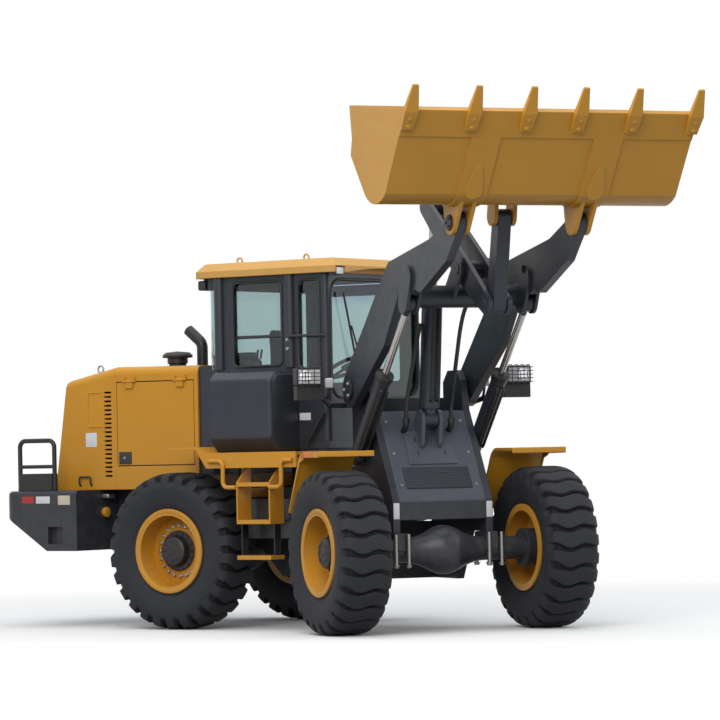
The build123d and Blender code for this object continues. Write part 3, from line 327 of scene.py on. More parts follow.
def smooth_step(x):
    """Rises from 0 to 1 as x goes from 0 to 1, level at both ends: three x squared less two x cubed."""
    x = np.clip(x, 0, 1)
    return x * x * (3 - 2 * x)


RUBBER_DARK, RUBBER_WORN = (0.010, 0.011, 0.014, 1), (0.034, 0.036, 0.042, 1)
GROOVE_PAINTED_SHADE = (0.003, 0.003, 0.004, 1)
rubber, tree, shader = new_finish("tyre_rubber")
place = add(tree, "TexCoord").outputs["Object"]
scuff = add(tree, "TexNoise", Vector=place, Scale=5.0, Detail=8.0, Roughness=0.65)
worn = add(tree, "MixRGB", Fac=scuff.outputs[0], Color1=RUBBER_DARK, Color2=RUBBER_WORN)
# Painted shade in the grooves: each point's depth in a groove mixes the rubber towards the near-black.
groove_shade = add(tree, "Attribute")
groove_shade.attribute_name = "groove"
shaded = add(tree, "MixRGB", Fac=groove_shade.outputs["Fac"], Color1=worn.outputs[0], Color2=GROOVE_PAINTED_SHADE)
tree.links.new(shaded.outputs[0], shader.inputs["Base Color"])
shader.inputs["Specular IOR Level"].default_value = 0.3
dull = add(tree, "MapRange", Value=scuff.outputs[0], To_Min=0.55, To_Max=0.85)
tree.links.new(dull.outputs["Result"], shader.inputs["Roughness"])
grit = add(tree, "TexNoise", Vector=place, Scale=160.0, Detail=3.0)
pits = add(tree, "Bump", Strength=0.15, Distance=0.003, Height=grit.outputs[0])
tree.links.new(pits.outputs[0], shader.inputs["Normal"])

BEAD_R, BEAD_Y, FLANGE_TOP = 0.3185, 0.176, 0.361
SHOULDER_R, SHOULDER_Y, WALL_BULGE = 0.628, 0.200, 0.0345
RING_HIGH, RING_R, RING_WIDE = (0.004, 0.003), (0.405, 0.53), (0.008, 0.006)
WALL_STEPS, TREAD_STEPS = 20, 58
BAR_DEPTH, BAR_COUNT, BAR_WAVE, WAVE_LENGTH = 0.034, 26, 0.017, 0.27
GROOVE_HALF, GROOVE_FLARE, FLARE_FROM, FLARE_OVER = 0.010, 0.016, 0.09, 0.11
BAR_SLOPE, NOTCH_R, NOTCH_OVER = 0.010, 0.560, 0.05
TURN_STEPS = BAR_COUNT * 24
tyre_low, tyre_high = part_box("tyre_rear_left")
TREAD_R = (tyre_high[2] - tyre_low[2]) / 2


def tyre_section():
    """The section from bead to bead and back inside: sidewalls bulge as a parabola of the height, with rings
    shaped as bell curves, and the tread is a flat arch whose radius falls with the sixth power of the
    distance from the middle."""
    rise = np.linspace(0, 1, WALL_STEPS)
    wall_r = FLANGE_TOP + rise * (SHOULDER_R - FLANGE_TOP)
    wall_y = BEAD_Y + rise * (SHOULDER_Y - BEAD_Y) + 4 * WALL_BULGE * rise * (1 - rise)
    for high, middle, wide in zip(RING_HIGH, RING_R, RING_WIDE):
        wall_y = wall_y + high * np.exp(-((wall_r - middle) / wide) ** 2)
    tread_y = np.linspace(SHOULDER_Y, -SHOULDER_Y, TREAD_STEPS)[1:-1]
    tread_r = SHOULDER_R + (TREAD_R - SHOULDER_R) * (1 - np.abs(tread_y / SHOULDER_Y) ** 6)
    y = np.concatenate([[BEAD_Y], wall_y, tread_y, -wall_y[::-1], [-BEAD_Y]])
    r = np.concatenate([[BEAD_R], wall_r, tread_r, wall_r[::-1], [BEAD_R]])
    return y, r


def tyre_points():
    """Tyre round its own Y axis, and how deep each point lies in a groove: a section point sinks along the
    section's normal in a groove, whose centre line waves as a sine across the tread and which widens to the
    shoulders."""
    y, r = tyre_section()
    turn = np.linspace(0, 2 * np.pi, TURN_STEPS, endpoint=False)[:, None]
    pitch = 2 * np.pi / BAR_COUNT
    line = BAR_WAVE * np.sin(y / WAVE_LENGTH * 2 * np.pi) / TREAD_R
    phase = (turn + line) / pitch
    away = np.abs((phase + 0.5) % 1 - 0.5) * pitch * TREAD_R
    half_groove = GROOVE_HALF + GROOVE_FLARE * smooth_step((np.abs(y) - FLARE_FROM) / FLARE_OVER)
    bar = smooth_step((away - half_groove) / BAR_SLOPE)
    sink = BAR_DEPTH * (1 - bar) * smooth_step((r - NOTCH_R) / NOTCH_OVER)
    dy, dr = np.gradient(y), np.gradient(r)
    size = np.hypot(dy, dr)
    radius, across = r + sink * dy / size, y - sink * dr / size
    points = np.stack([radius * np.cos(turn), across + 0 * turn, -radius * np.sin(turn)], axis=-1)
    return points, sink / BAR_DEPTH


WHEELS = [(end, hand) for end in ("front", "rear") for hand in ("left", "right")]


def wheel_axes(end, hand):
    """A wheel's own axes in the frame: forward or back, outwards along the axle, and up."""
    out = np.array(joint[f"wheel_{end}_{hand}"]["axis"]) * (1 if hand == "left" else -1)
    return np.stack([np.cross(out, up), out, up])


tyre_grid, tyre_groove_shade = tyre_points()
tyre_faces = grid_faces(*tyre_grid.shape[:2], closed_rows=True, closed_cols=True)
for end, hand in WHEELS:
    centre = np.array(joint[f"wheel_{end}_{hand}"]["pos_m"])
    standing = centre + tyre_grid @ wheel_axes(end, hand)
    tyre = make(f"tyre_tread_{end}_{hand}", [(standing, tyre_faces)], rubber, f"wheel_{end}_{hand}",
                sharp=44)
    # Each point's groove depth is kept on the tyre for the rubber's painted groove shade.
    tyre.data.attributes.new("groove", "FLOAT", "POINT").data.foreach_set("value", tyre_groove_shade.ravel())
    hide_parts(f"tyre_{end}_{hand}")


# Rims and hubs: welded disc rims in the hood's yellow, with a lock ring and wheel nuts, and the dark cast
# planet hub of the axle standing through the disc with its ring of cover bolts.
def lathe(profile, centre, axis, steps):
    """A profile of (distance along the axis, radius) turned once round the axis through a centre."""
    axis = unit(np.asarray(axis, float))
    cross = unit(np.cross(axis, up if abs(axis[2]) < 0.9 else (1, 0, 0)))
    other = np.cross(axis, cross)
    turn = np.linspace(0, 2 * np.pi, steps, endpoint=False)[:, None, None]
    along, radius = np.asarray(profile, float).T[..., None]
    ring = np.cos(turn) * cross + np.sin(turn) * other
    points = np.asarray(centre, float) + along * axis + radius * ring
    return points, grid_faces(steps, len(profile), closed_rows=True)


def bolt(centre, axis, size):
    """A hexagon head with a chamfered top, turned in six steps, on a round washer."""
    head = [(0, 0), (0, size), (0.8 * size, size), (size, 0.8 * size), (size, 0)]
    washer = [(0, 0), (0, 1.35 * size), (0.2 * size, 1.35 * size), (0.2 * size, 0)]
    return [lathe(head, centre, axis, 6), lathe(washer, centre, axis, 16)]


def bolt_ring(centre, axis, radius, count, size):
    """Bolts spaced evenly on a circle round an axis."""
    spots = lathe([(0, radius)], centre, axis, count)[0].reshape(-1, 3)
    return [part for spot in spots for part in bolt(spot, axis, size)]


HUB_PROFILE = [(0.045, 0.165), (0.058, 0.172), (0.066, 0.168), (0.072, 0.133), (0.128, 0.122),
               (0.133, 0.122), (0.151, 0.098), (0.1515, 0.035), (0.157, 0.033), (0.157, 0)]
LOCK_RING = [(0.178, 0.300), (0.1965, 0.318), (0.2005, 0.330), (0.199, 0.352), (0.190, 0.3575),
             (0.180, 0.356)]
COVER_BOLTS_OUT, COVER_BOLTS_R, COVER_BOLT_COUNT, COVER_BOLT = 0.0665, 0.151, 16, 0.011
CAP_BOLTS_OUT, CAP_BOLTS_R, CAP_BOLT_COUNT, CAP_BOLT = 0.1512, 0.078, 8, 0.008
NUTS_OUT, NUTS_R, NUT_COUNT, WHEEL_NUT = 0.031, 0.212, 20, 0.016
zinc = paint("zinc_plated_steel", (0.32, 0.31, 0.29), roughness=0.4, dust=0.2)
zinc.node_tree.nodes["Principled BSDF"].inputs["Metallic"].default_value = 0.85
coat(yellow, *[f"rim_{end}_{hand}" for end, hand in WHEELS])
for end, hand in WHEELS:
    centre = np.array(joint[f"wheel_{end}_{hand}"]["pos_m"])
    out = wheel_axes(end, hand)[1]
    body = f"wheel_{end}_{hand}"
    hub = [lathe(HUB_PROFILE, centre, out, 64)]
    hub += bolt_ring(centre + COVER_BOLTS_OUT * out, out, COVER_BOLTS_R, COVER_BOLT_COUNT, COVER_BOLT)
    hub += bolt_ring(centre + CAP_BOLTS_OUT * out, out, CAP_BOLTS_R, CAP_BOLT_COUNT, CAP_BOLT)
    make(f"planet_hub_{end}_{hand}", hub, black, body)
    make(f"lock_ring_{end}_{hand}", [lathe(LOCK_RING, centre, out, 96)], yellow, body)
    nuts = bolt_ring(centre + NUTS_OUT * out, out, NUTS_R, NUT_COUNT, WHEEL_NUT)
    make(f"wheel_nuts_{end}_{hand}", nuts, zinc, body)

# Glass: green tinted safety glass, 8 mm thick, held in rubber gaskets round the cab. The screen has a blue
# sun band along its top, which fades in over a hand's breadth.
GLASS_TINT, BAND_TINT = (0.52, 0.64, 0.635), (0.36, 0.46, 0.60)
BAND_LOW, BAND_FADE = 2.68, 0.12
SCREEN_X, SCREEN_DEEP = rear((-0.06, 0, 0))[0], 0.02


def tinted_glass(name, tint, band):
    """See-through glass: the tint and a faint smear follow slow noise, and the band's colour takes over where
    the height and the distance forward are both within the band."""
    finish, tree, shader = new_finish(name)
    place = add(tree, "TexCoord").outputs["Object"]
    film = add(tree, "TexNoise", Vector=place, Scale=2.5, Detail=3.0)
    pane = add(tree, "MixRGB", Fac=film.outputs[0], **shades(tint, 0.03))
    spot = add(tree, "SeparateXYZ", Vector=place)
    high = add(tree, "MapRange", Value=spot.outputs["Z"], From_Min=BAND_LOW, From_Max=BAND_LOW + BAND_FADE)
    forward = add(tree, "MapRange", Value=spot.outputs["X"], From_Min=SCREEN_X - SCREEN_DEEP,
                  From_Max=SCREEN_X)
    in_band = combine(tree, "MULTIPLY", high.outputs["Result"], forward.outputs["Result"])
    colour = add(tree, "MixRGB", Fac=in_band, Color1=pane.outputs[0], Color2=[*band, 1])
    tree.links.new(colour.outputs[0], shader.inputs["Base Color"])
    smear = add(tree, "MapRange", Value=film.outputs[0], To_Min=0.0, To_Max=0.012)
    tree.links.new(smear.outputs["Result"], shader.inputs["Roughness"])
    shader.inputs["Transmission Weight"].default_value = 1.0
    shader.inputs["IOR"].default_value = 1.45
    return finish


coat(tinted_glass("green_tinted_glass", GLASS_TINT, BAND_TINT), "cab_glass", "glass_door")


# The hood's fittings: a black paddle latch and a lifting handle on each side, ring eyes on the sloping top,
# the pressed outline beside the louvres, the filler cap, one blank label, and a black rubber sealing strip
# behind each door's edge, whose black also fills the gap round the door as painted shade.
def small_finish(name, colour, roughness, metal=0.0, scale=14.0, mottle=0.12):
    """A plain finish whose colour and roughness follow one noise."""
    finish, tree, shader = new_finish(name)
    place = add(tree, "TexCoord").outputs["Object"]
    drift = add(tree, "TexNoise", Vector=place, Scale=scale, Detail=5.0)
    tone = add(tree, "MixRGB", Fac=drift.outputs[0], **shades(colour, mottle))
    tree.links.new(tone.outputs[0], shader.inputs["Base Color"])
    dull = add(tree, "MapRange", Value=drift.outputs[0], To_Min=roughness, To_Max=min(roughness + 0.12, 1))
    tree.links.new(dull.outputs["Result"], shader.inputs["Roughness"])
    shader.inputs["Metallic"].default_value = metal
    return finish


hose_rubber = small_finish("hose_rubber", (0.014, 0.014, 0.015), 0.5)
plastic = small_finish("black_plastic", (0.016, 0.017, 0.019), 0.42)
white_tape = small_finish("white_reflector", (0.70, 0.71, 0.74), 0.3)


def rounded_box(low, high, radius):
    """A box whose edges are round: each point of the outer box is drawn to the given radius from the inner
    box."""
    low, high = np.asarray(low, float), np.asarray(high, float)
    radius = min(radius, 0.49 * np.min(high - low))
    share = np.array([0, 0.25, 0.6, 1]) * radius
    lines = [np.concatenate([a + share, b - share[::-1]]) for a, b in zip(low, high)]
    parts = []
    for k in range(3):
        u, v = np.meshgrid(lines[(k + 1) % 3], lines[(k + 2) % 3], indexing="ij")
        for level in (low[k], high[k]):
            face = np.empty(u.shape + (3,))
            face[..., k], face[..., (k + 1) % 3], face[..., (k + 2) % 3] = level, u, v
            core = np.clip(face, low + radius, high - radius)
            away = face - core
            size = np.linalg.norm(away, axis=-1, keepdims=True)
            parts.append(core + radius * away / size)
    count = parts[0].shape[:2]
    faces = np.concatenate([grid_faces(*count) + i * count[0] * count[1] for i in range(6)])
    return np.concatenate([p.reshape(-1, 3) for p in parts]), faces


def side_box(sign, x, y, half, z, radius):
    """A rounded box on one side of the machine: its ends in x and z, its middle and half its width in y."""
    return rounded_box((x[0], sign * y - half, z[0]), (x[1], sign * y + half, z[1]), radius)


def corner_arc(start, corner, end):
    """Seven points on the quadratic arc that leaves start and reaches end along their lines to the corner."""
    t = np.linspace(0, 1, 7)[:, None]
    return (1 - t) ** 2 * start + 2 * t * (1 - t) * corner + t**2 * end


def tube(points, radius, bend=0.03, steps=10, closed=False):
    """A round section carried along straight runs whose corners are quadratic arcs of the given reach. Each
    ring starts where the one before it did, less what lies along the run."""
    points = np.asarray(points, float)
    before, after = np.roll(points, 1, axis=0), np.roll(points, -1, axis=0)
    path = [] if closed else [points[0]]
    for a, p, b in zip(before, points, after) if closed else zip(points, points[1:], points[2:]):
        start = p + unit(a - p) * min(bend, 0.48 * np.linalg.norm(a - p))
        end = p + unit(b - p) * min(bend, 0.48 * np.linalg.norm(b - p))
        path += list(corner_arc(start, p, end))
    if not closed:
        path.append(points[-1])
    path = np.array(path)
    ahead_of = np.gradient(path, axis=0)
    if closed:
        ahead_of = np.roll(path, -1, axis=0) - np.roll(path, 1, axis=0)
    ahead_of /= np.linalg.norm(ahead_of, axis=1, keepdims=True)
    around = np.zeros_like(path)
    guess = np.cross(ahead_of[0], (0.31, 0.47, 0.83))
    for i, way in enumerate(ahead_of):
        guess = unit(guess - way * (guess @ way))
        around[i] = guess
    other = np.cross(ahead_of, around)
    turn = np.linspace(0, 2 * np.pi, steps, endpoint=False)[None, :, None]
    ring = path[:, None] + radius * (np.cos(turn) * around[:, None] + np.sin(turn) * other[:, None])
    faces = grid_faces(len(path), steps, closed_rows=closed, closed_cols=True).tolist()
    if not closed:
        faces += [list(range(steps)), list(range((len(path) - 1) * steps, len(path) * steps))]
    return ring, faces


def mirrored(part):
    """The same part on the other side of the machine."""
    return np.asarray(part[0]) * (1, -1, 1), part[1]


def rear_piece(name, parts, finish, body="rear"):
    """A piece whose parts are drawn from the hinge along the rear half."""
    return make(name, [(rear(points), faces) for points, faces in parts], finish, body)


SIDES = (("right", -1), ("left", 1))
HOOD_SIDE, HOOD_WALL = 0.668, 0.025
DOOR_X, DOOR_Z = (-2.285, -1.430), (1.380, 2.110)
SEAL_WIDE, SEAL_HALF, SEAL_GAP, SEAL_ROUND = 0.022, 0.00575, 0.0005, 0.004
SEAL_Y = HOOD_SIDE - HOOD_WALL - SEAL_GAP - SEAL_HALF
LATCH_X, LATCH_Z, LATCH_HALF = (-2.262, -2.125), (1.398, 1.504), 0.008
LOCK_X, LOCK_Z = -2.196, 1.452
LOCK_PROFILE = [(0.006, 0), (0.006, 0.013), (0.014, 0.011), (0.014, 0)]
HANDLE_X, HANDLE_FOOT, HANDLE_KNEE, HANDLE_TOP = (-2.70, -2.575), 1.215, 1.235, 1.293
HANDLE_R, HANDLE_OFF = 0.008, 0.022
PRESS_X, PRESS_Z, PRESS_R, PRESS_OFF = (-2.45, -2.604), (2.022, 1.725), 0.006, 0.001
for hand, sign in SIDES:
    # Black rubber behind the door's four edges: a sealing strip, and painted shade where it shows in the gap.
    seal_and_gap_shade = [side_box(sign, (DOOR_X[0] - SEAL_WIDE, DOOR_X[1] + SEAL_WIDE), SEAL_Y, SEAL_HALF,
                     (z - SEAL_WIDE, z + SEAL_WIDE), SEAL_ROUND) for z in DOOR_Z]
    seal_and_gap_shade += [side_box(sign, (x - SEAL_WIDE, x + SEAL_WIDE), SEAL_Y, SEAL_HALF, DOOR_Z, SEAL_ROUND)
             for x in DOOR_X]
    rear_piece(f"hood_seal_and_gap_shade_{hand}", seal_and_gap_shade, hose_rubber)
    latch = side_box(sign, LATCH_X, HOOD_SIDE, LATCH_HALF, LATCH_Z, 0.006)
    rear_piece(f"hood_latch_{hand}", [latch], plastic, f"hood_door_{hand}")
    lock = lathe(LOCK_PROFILE, (LOCK_X, sign * HOOD_SIDE, LOCK_Z), (0, sign, 0), 20)
    rear_piece(f"hood_lock_{hand}", [lock], zinc, f"hood_door_{hand}")
    y = sign * (HOOD_SIDE + HANDLE_OFF)
    leg = [(sign * HOOD_SIDE, HANDLE_FOOT), (y, HANDLE_KNEE), (y, HANDLE_TOP)]
    grip = [(HANDLE_X[0], *spot) for spot in leg] + [(HANDLE_X[1], *spot) for spot in leg[::-1]]
    rear_piece(f"hood_handle_{hand}", [tube(grip, HANDLE_R, 0.02)], plastic)
    y = sign * (HOOD_SIDE + PRESS_OFF)
    press = tube([(PRESS_X[0], y, PRESS_Z[0]), (PRESS_X[1], y, PRESS_Z[0]), (PRESS_X[1], y, PRESS_Z[1]),
                  (PRESS_X[0], y, PRESS_Z[1])], PRESS_R, 0.035, 8)
    rear_piece(f"hood_pressing_{hand}", [press], yellow)
RING_EYE, RING_EYE_R, RING_EYE_WIRE, RING_EYE_STEPS = (-2.53, -0.575, 2.226), 0.030, 0.008, 24
FILLER = (-1.315, -0.47, 2.225)
FILLER_PROFILE = [(-0.01, 0.04), (0.05, 0.04), (0.05, 0.052), (0.085, 0.05), (0.092, 0.04), (0.092, 0)]
LABEL_PROUD, LABEL_SUNK = 0.0025, 0.002


def wall_label(x, wall, z):
    """A thin plate on the right wall of the machine, as a rounded box that is sunk a little into it."""
    return rounded_box((x[0], -wall - LABEL_PROUD, z[0]), (x[1], -wall + LABEL_SUNK, z[1]), 0.001)


ring_turn = np.linspace(0, 2 * np.pi, RING_EYE_STEPS, endpoint=False)
ring_eye = RING_EYE + RING_EYE_R * np.stack([np.cos(ring_turn), 0 * ring_turn, np.sin(ring_turn)], axis=-1)
eye = tube(ring_eye, RING_EYE_WIRE, 0.001, 8, closed=True)
rear_piece("hood_ring_eyes", [eye, mirrored(eye)], zinc)
rear_piece("filler_cap", [lathe(FILLER_PROFILE, FILLER, up, 32)], plastic)
rear_piece("hood_blank_label", [wall_label((-2.635, -2.513), HOOD_SIDE, (1.551, 1.675))], white_tape)

# The hood's back: the sloping top runs out to the tail and folds down to the grille's upper edge. It is one
# pressed steel sheet, whose corners are rounded like the hood's.
HOOD_KNEE, HOOD_TAIL = np.array((-2.310, 2.240)), np.array((-2.840, 2.133))
GRILLE_TOP = np.array((-2.8515, 2.046))
HOOD_ROUND, SHEET, LAP, FOLD_REACH, SHEET_SINK = 0.070, 0.012, 0.30, 0.03, 0.001
CORNER_FROM, CORNER_TO, CORNER_STEPS = 0.598, 0.660, 9
FOLD_MIDDLE = 4


def hood_drop(y):
    """How far the hood's rounded corners lie below its flat top at a distance from the middle: a quarter
    circle."""
    past = np.clip(np.abs(y) - (HOOD_SIDE - HOOD_ROUND), 0, HOOD_ROUND)
    return HOOD_ROUND - np.sqrt(HOOD_ROUND**2 - past**2)


fall = unit(HOOD_TAIL - HOOD_KNEE)
fold = corner_arc(HOOD_TAIL - FOLD_REACH * fall, HOOD_TAIL,
                  HOOD_TAIL + FOLD_REACH * unit(GRILLE_TOP - HOOD_TAIL))
outer = np.concatenate([[HOOD_TAIL - LAP * fall], fold, [GRILLE_TOP]])
before_fold = np.arange(len(outer))[::-1, None] < FOLD_MIDDLE
inner = outer[::-1] + np.where(before_fold, (0, -SHEET), (SHEET, -SHEET / 3))
sheet_ring = np.concatenate([outer, inner])
across = np.concatenate([np.linspace(-CORNER_TO, -CORNER_FROM, CORNER_STEPS),
                         np.linspace(CORNER_FROM, CORNER_TO, CORNER_STEPS)])
ring_x = np.repeat(sheet_ring[None, :, 0], len(across), axis=0)
ring_y = np.repeat(across[:, None], len(sheet_ring), axis=1)
top_z = HOOD_KNEE[1] + (ring_x - HOOD_KNEE[0]) * fall[1] / fall[0] - hood_drop(ring_y) - SHEET_SINK
ring_z = np.minimum(sheet_ring[None, :, 1], top_z - np.repeat((0, SHEET), len(outer)))
back_faces = grid_faces(*ring_x.shape, closed_cols=True).tolist()
back_faces += [list(range(len(sheet_ring))), list(range(ring_x.size - len(sheet_ring), ring_x.size))]
back_sheet = np.stack([ring_x, ring_y, ring_z], axis=-1)
rear_piece("hood_back_sheet", [(back_sheet, back_faces)], yellow)

# The counterweight's fittings: red and white reflectors on its right side, a blank label, the battery switch
# with its lever on its front face, and red and amber tail lamps in the guards.
WEIGHT_SIDE, REFLECTOR_HALF, REFLECTOR_Z = 1.0, 0.004, (1.07, 1.132)
TAIL_LAMP_X, TAIL_LAMP_Y, TAIL_LAMP_HALF, TAIL_LAMP_HIGH = (-3.172, -3.15), 0.915, 0.036, 0.028
SWITCH = (-2.48, -0.62, 0.985)
SWITCH_PROFILE = [(0, 0.04), (0.02, 0.046), (0.035, 0.046), (0.042, 0.035), (0.042, 0)]
red_lens = small_finish("red_lens", (0.42, 0.018, 0.016), 0.15)
amber_lens = small_finish("amber_lens", (0.72, 0.13, 0.012), 0.15)
pale_label = small_finish("blank_label", (0.62, 0.56, 0.42), 0.45)
for hand, sign in SIDES:
    for name, finish, z in (("red", red_lens, 1.287), ("amber", amber_lens, 1.222)):
        lamp_z = (z - TAIL_LAMP_HIGH, z + TAIL_LAMP_HIGH)
        lamp = side_box(sign, TAIL_LAMP_X, TAIL_LAMP_Y, TAIL_LAMP_HALF, lamp_z, 0.01)
        rear_piece(f"tail_lamp_{name}_{hand}", [lamp], finish)
for name, finish, x in (("red", red_lens, (-3.093, -2.958)), ("white", white_tape, (-2.933, -2.776))):
    plate = side_box(-1, x, WEIGHT_SIDE, REFLECTOR_HALF, REFLECTOR_Z, 0.003)
    rear_piece(f"weight_reflector_{name}", [plate], finish)
rear_piece("weight_blank_label", [wall_label((-2.684, -2.55), WEIGHT_SIDE, (1.058, 1.138))], pale_label)
rear_piece("battery_switch", [lathe(SWITCH_PROFILE, SWITCH, (1, 0, 0), 28)], yellow)
lever = rounded_box((-2.485, -0.66, 1.105), (-2.40, -0.56, 1.145), 0.014)
rear_piece("battery_switch_lever", [lever], zinc)

# The cab's trim: rubber gaskets in the window openings, a rubber skirt under the floor, a grab rail and strut
# on the right, the wiper, work lamps under the roof, bolts on the door post, a blank plate and the door's
# handle.
CAB_SIDE, GASKET_R, SCREEN_GASKET_R = 0.68, 0.012, 0.013
SCREEN_HALF, SCREEN_LOW, SCREEN_TOP = 0.63, 1.92, 2.91
SKIRT_Y, SKIRT_END, SKIRT_HALF, SKIRT_TOP = 0.66, 0.67, 0.01, 1.506
GRAB_X, GRAB_Z, GRAB_R, GRAB_OFF, STRUT_R, STRUT_OFF = (-0.36, -0.03), 2.44, 0.012, 0.075, 0.014, 0.04
POST_BOLT_X, POST_BOLT_OFF, POST_BOLT = -0.385, 0.043, 0.013
DOOR_HANDLE_X, DOOR_HANDLE_Z, DOOR_HANDLE_R, DOOR_HANDLE_OFF = -0.19, (2.02, 1.84), 0.011, 0.045
REAR_LAMP_Y, ROOF_LAMP_Y = 0.60, 0.645


def gasket(x0, x1, z0, z1, y):
    """A rubber tube round a window in a side wall."""
    return tube([(x0, y, z0), (x1, y, z0), (x1, y, z1), (x0, y, z1)], GASKET_R, 0.05, 8, closed=True)


side_gaskets = [gasket(-0.985, -0.470, 2.20, 2.91, -CAB_SIDE), gasket(-0.300, -0.078, 2.16, 2.91, -CAB_SIDE)]
rear_piece("side_gaskets", side_gaskets, hose_rubber)
screen_rim = tube([(0, -SCREEN_HALF, SCREEN_LOW), (0, SCREEN_HALF, SCREEN_LOW), (0, SCREEN_HALF, SCREEN_TOP),
                   (0, -SCREEN_HALF, SCREEN_TOP)], SCREEN_GASKET_R, 0.16, 8, closed=True)
rear_piece("screen_gasket", [screen_rim], hose_rubber)
door_rim = gasket(-0.980, -0.200, 2.06, 2.83, CAB_SIDE)
rear_piece("door_gasket", [door_rim], hose_rubber, "cab_door")
skirt = [side_box(sign, (-1.24, -0.03), SKIRT_Y, SKIRT_HALF, (1.474, SKIRT_TOP), 0.004) for sign in (-1, 1)]
skirt.append(rounded_box((-0.034, -SKIRT_END, 1.425), (-0.014, SKIRT_END, SKIRT_TOP), 0.004))
rear_piece("cab_skirt", skirt, hose_rubber)
divider = rounded_box((-0.985, -0.665, 2.435), (-0.470, -0.635, 2.462), 0.008)
rear_piece("window_divider", [divider], plastic)
y = -CAB_SIDE - GRAB_OFF
grab = tube([(GRAB_X[0], -CAB_SIDE - 0.02, GRAB_Z), (GRAB_X[0], y, GRAB_Z), (GRAB_X[1], y, GRAB_Z),
             (GRAB_X[1], -CAB_SIDE + 0.01, GRAB_Z)], GRAB_R, 0.04)
strut = tube([(-0.20, -CAB_SIDE - STRUT_OFF, 1.55), (-0.02, -CAB_SIDE - STRUT_OFF, 1.80)], STRUT_R)
rear_piece("grab_rail", [grab, strut], plastic)
post_bolts = []
for z in (2.335, 2.411):
    post_bolts += bolt((POST_BOLT_X, -CAB_SIDE - POST_BOLT_OFF, z), (0, -1, 0), POST_BOLT)
rear_piece("post_bolts", post_bolts, zinc)
plate = rounded_box((-0.30, -CAB_SIDE - 0.003, 1.737), (-0.187, -CAB_SIDE + 0.002, 1.798), 0.001)
rear_piece("cab_blank_plate", [plate], white_tape)
arm = tube([(-0.01, -0.12, 1.93), (0.03, -0.13, 1.96), (0.03, -0.38, 2.52)], 0.008, 0.02)
blade = tube([(0.018, -0.30, 2.22), (0.018, -0.47, 2.80)], 0.009)
rear_piece("wiper", [arm, blade], plastic)
x, y, z = DOOR_HANDLE_X, CAB_SIDE + DOOR_HANDLE_OFF, DOOR_HANDLE_Z
handle = tube([(x, CAB_SIDE, z[0]), (x, y, z[0]), (x, y, z[1]), (x, CAB_SIDE, z[1])], DOOR_HANDLE_R, 0.03)
rear_piece("door_handle", [handle], plastic, "cab_door")
for hand, sign in SIDES:
    lamp = side_box(sign, (-1.365, -1.285), REAR_LAMP_Y, 0.075, (2.862, 2.945), 0.015)
    stalk = side_box(sign, (-1.345, -1.305), REAR_LAMP_Y, 0.015, (2.93, 2.965), 0.004)
    rear_piece(f"rear_work_lamp_{hand}", [lamp, stalk], plastic)
    lens_face = side_box(sign, (-1.372, -1.358), REAR_LAMP_Y, 0.062, (2.874, 2.934), 0.006)
    rear_piece(f"rear_work_lens_{hand}", [lens_face], white_tape)
    lamp = side_box(sign, (0.042, 0.115), ROOF_LAMP_Y, 0.053, (2.935, 3.008), 0.012)
    rear_piece(f"roof_lamp_{hand}", [lamp], plastic)
    lens_face = side_box(sign, (0.108, 0.122), ROOF_LAMP_Y, 0.045, (2.943, 3.0), 0.006)
    rear_piece(f"roof_lens_{hand}", [lens_face], white_tape)

# The driver's seat: two foam cushions in dark cloth on a covered pedestal, with a recliner on each side. The
# cushions are blown up as cloth from a smaller block, so that their tops crown and their sides pull in
# between the corners.
SEAT_SWELL, SEAT_VOXEL, SEAT_ROUND = 0.022, 0.012, 0.035
SEAT_PRESSURE, SEAT_MOMENTS = 4, 20
SEAT_BASE = ((-0.90, -0.25, 1.865), (-0.42, 0.25, 1.99))
SEAT_BACK = ((-1.0, -0.24, 1.96), (-0.885, 0.24, 2.56))
cloth = small_finish("seat_cloth", (0.030, 0.031, 0.036), 0.8, scale=220.0, mottle=0.35)


def inflate(points, faces):
    """A closed mesh remeshed in even quads and swollen as cloth by inner pressure, no point further than the
    cap: each shift is cut to the swell where it is longer."""
    scene = bpy.context.scene
    mesh = bpy.data.meshes.new("pad")
    mesh.from_pydata(points.tolist(), [], faces.tolist())
    pad = bpy.data.objects.new("pad", mesh)
    scene.collection.objects.link(pad)
    weld = pad.modifiers.new("weld", "WELD")
    weld.merge_threshold = 1e-5
    remesh = pad.modifiers.new("remesh", "REMESH")
    remesh.mode = "VOXEL"
    remesh.voxel_size = SEAT_VOXEL
    even = bpy.data.meshes.new_from_object(pad.evaluated_get(bpy.context.evaluated_depsgraph_get()))
    pad.modifiers.clear()
    pad.data = even
    rest = np.array([v.co for v in even.vertices])
    corners = [list(p.vertices) for p in even.polygons]
    moved = rest
    swell = pad.modifiers.new("cloth", "CLOTH")
    swell.settings.use_pressure = True
    swell.settings.uniform_pressure_force = SEAT_PRESSURE
    swell.settings.effector_weights.gravity = 0
    for moment in range(1, SEAT_MOMENTS + 1):
        scene.frame_set(moment)
    blown = pad.evaluated_get(bpy.context.evaluated_depsgraph_get()).data
    moved = np.array([v.co for v in blown.vertices])
    scene.frame_set(1)
    shift = moved - rest
    size = np.linalg.norm(shift, axis=1, keepdims=True)
    bpy.data.objects.remove(pad)
    return rest + shift * np.minimum(1, SEAT_SWELL / np.maximum(size, 1e-9)), corners


for name, (low, high) in (("seat_cushion", SEAT_BASE), ("seat_back", SEAT_BACK)):
    points, faces = rounded_box(np.array(low) + SEAT_SWELL, np.array(high) - SEAT_SWELL, SEAT_ROUND)
    pad = make(name, [inflate(rear(points), faces)], cloth, "rear", sharp=180)
    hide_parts("seat")
pedestal = rounded_box((-0.82, -0.17, 1.56), (-0.50, 0.17, 1.86), 0.02)
recline = [side_box(sign, (-0.99, -0.85), 0.235, 0.02, (1.85, 2.05), 0.018) for sign in (-1, 1)]
rear_piece("seat_pedestal", [pedestal, *recline], plastic)

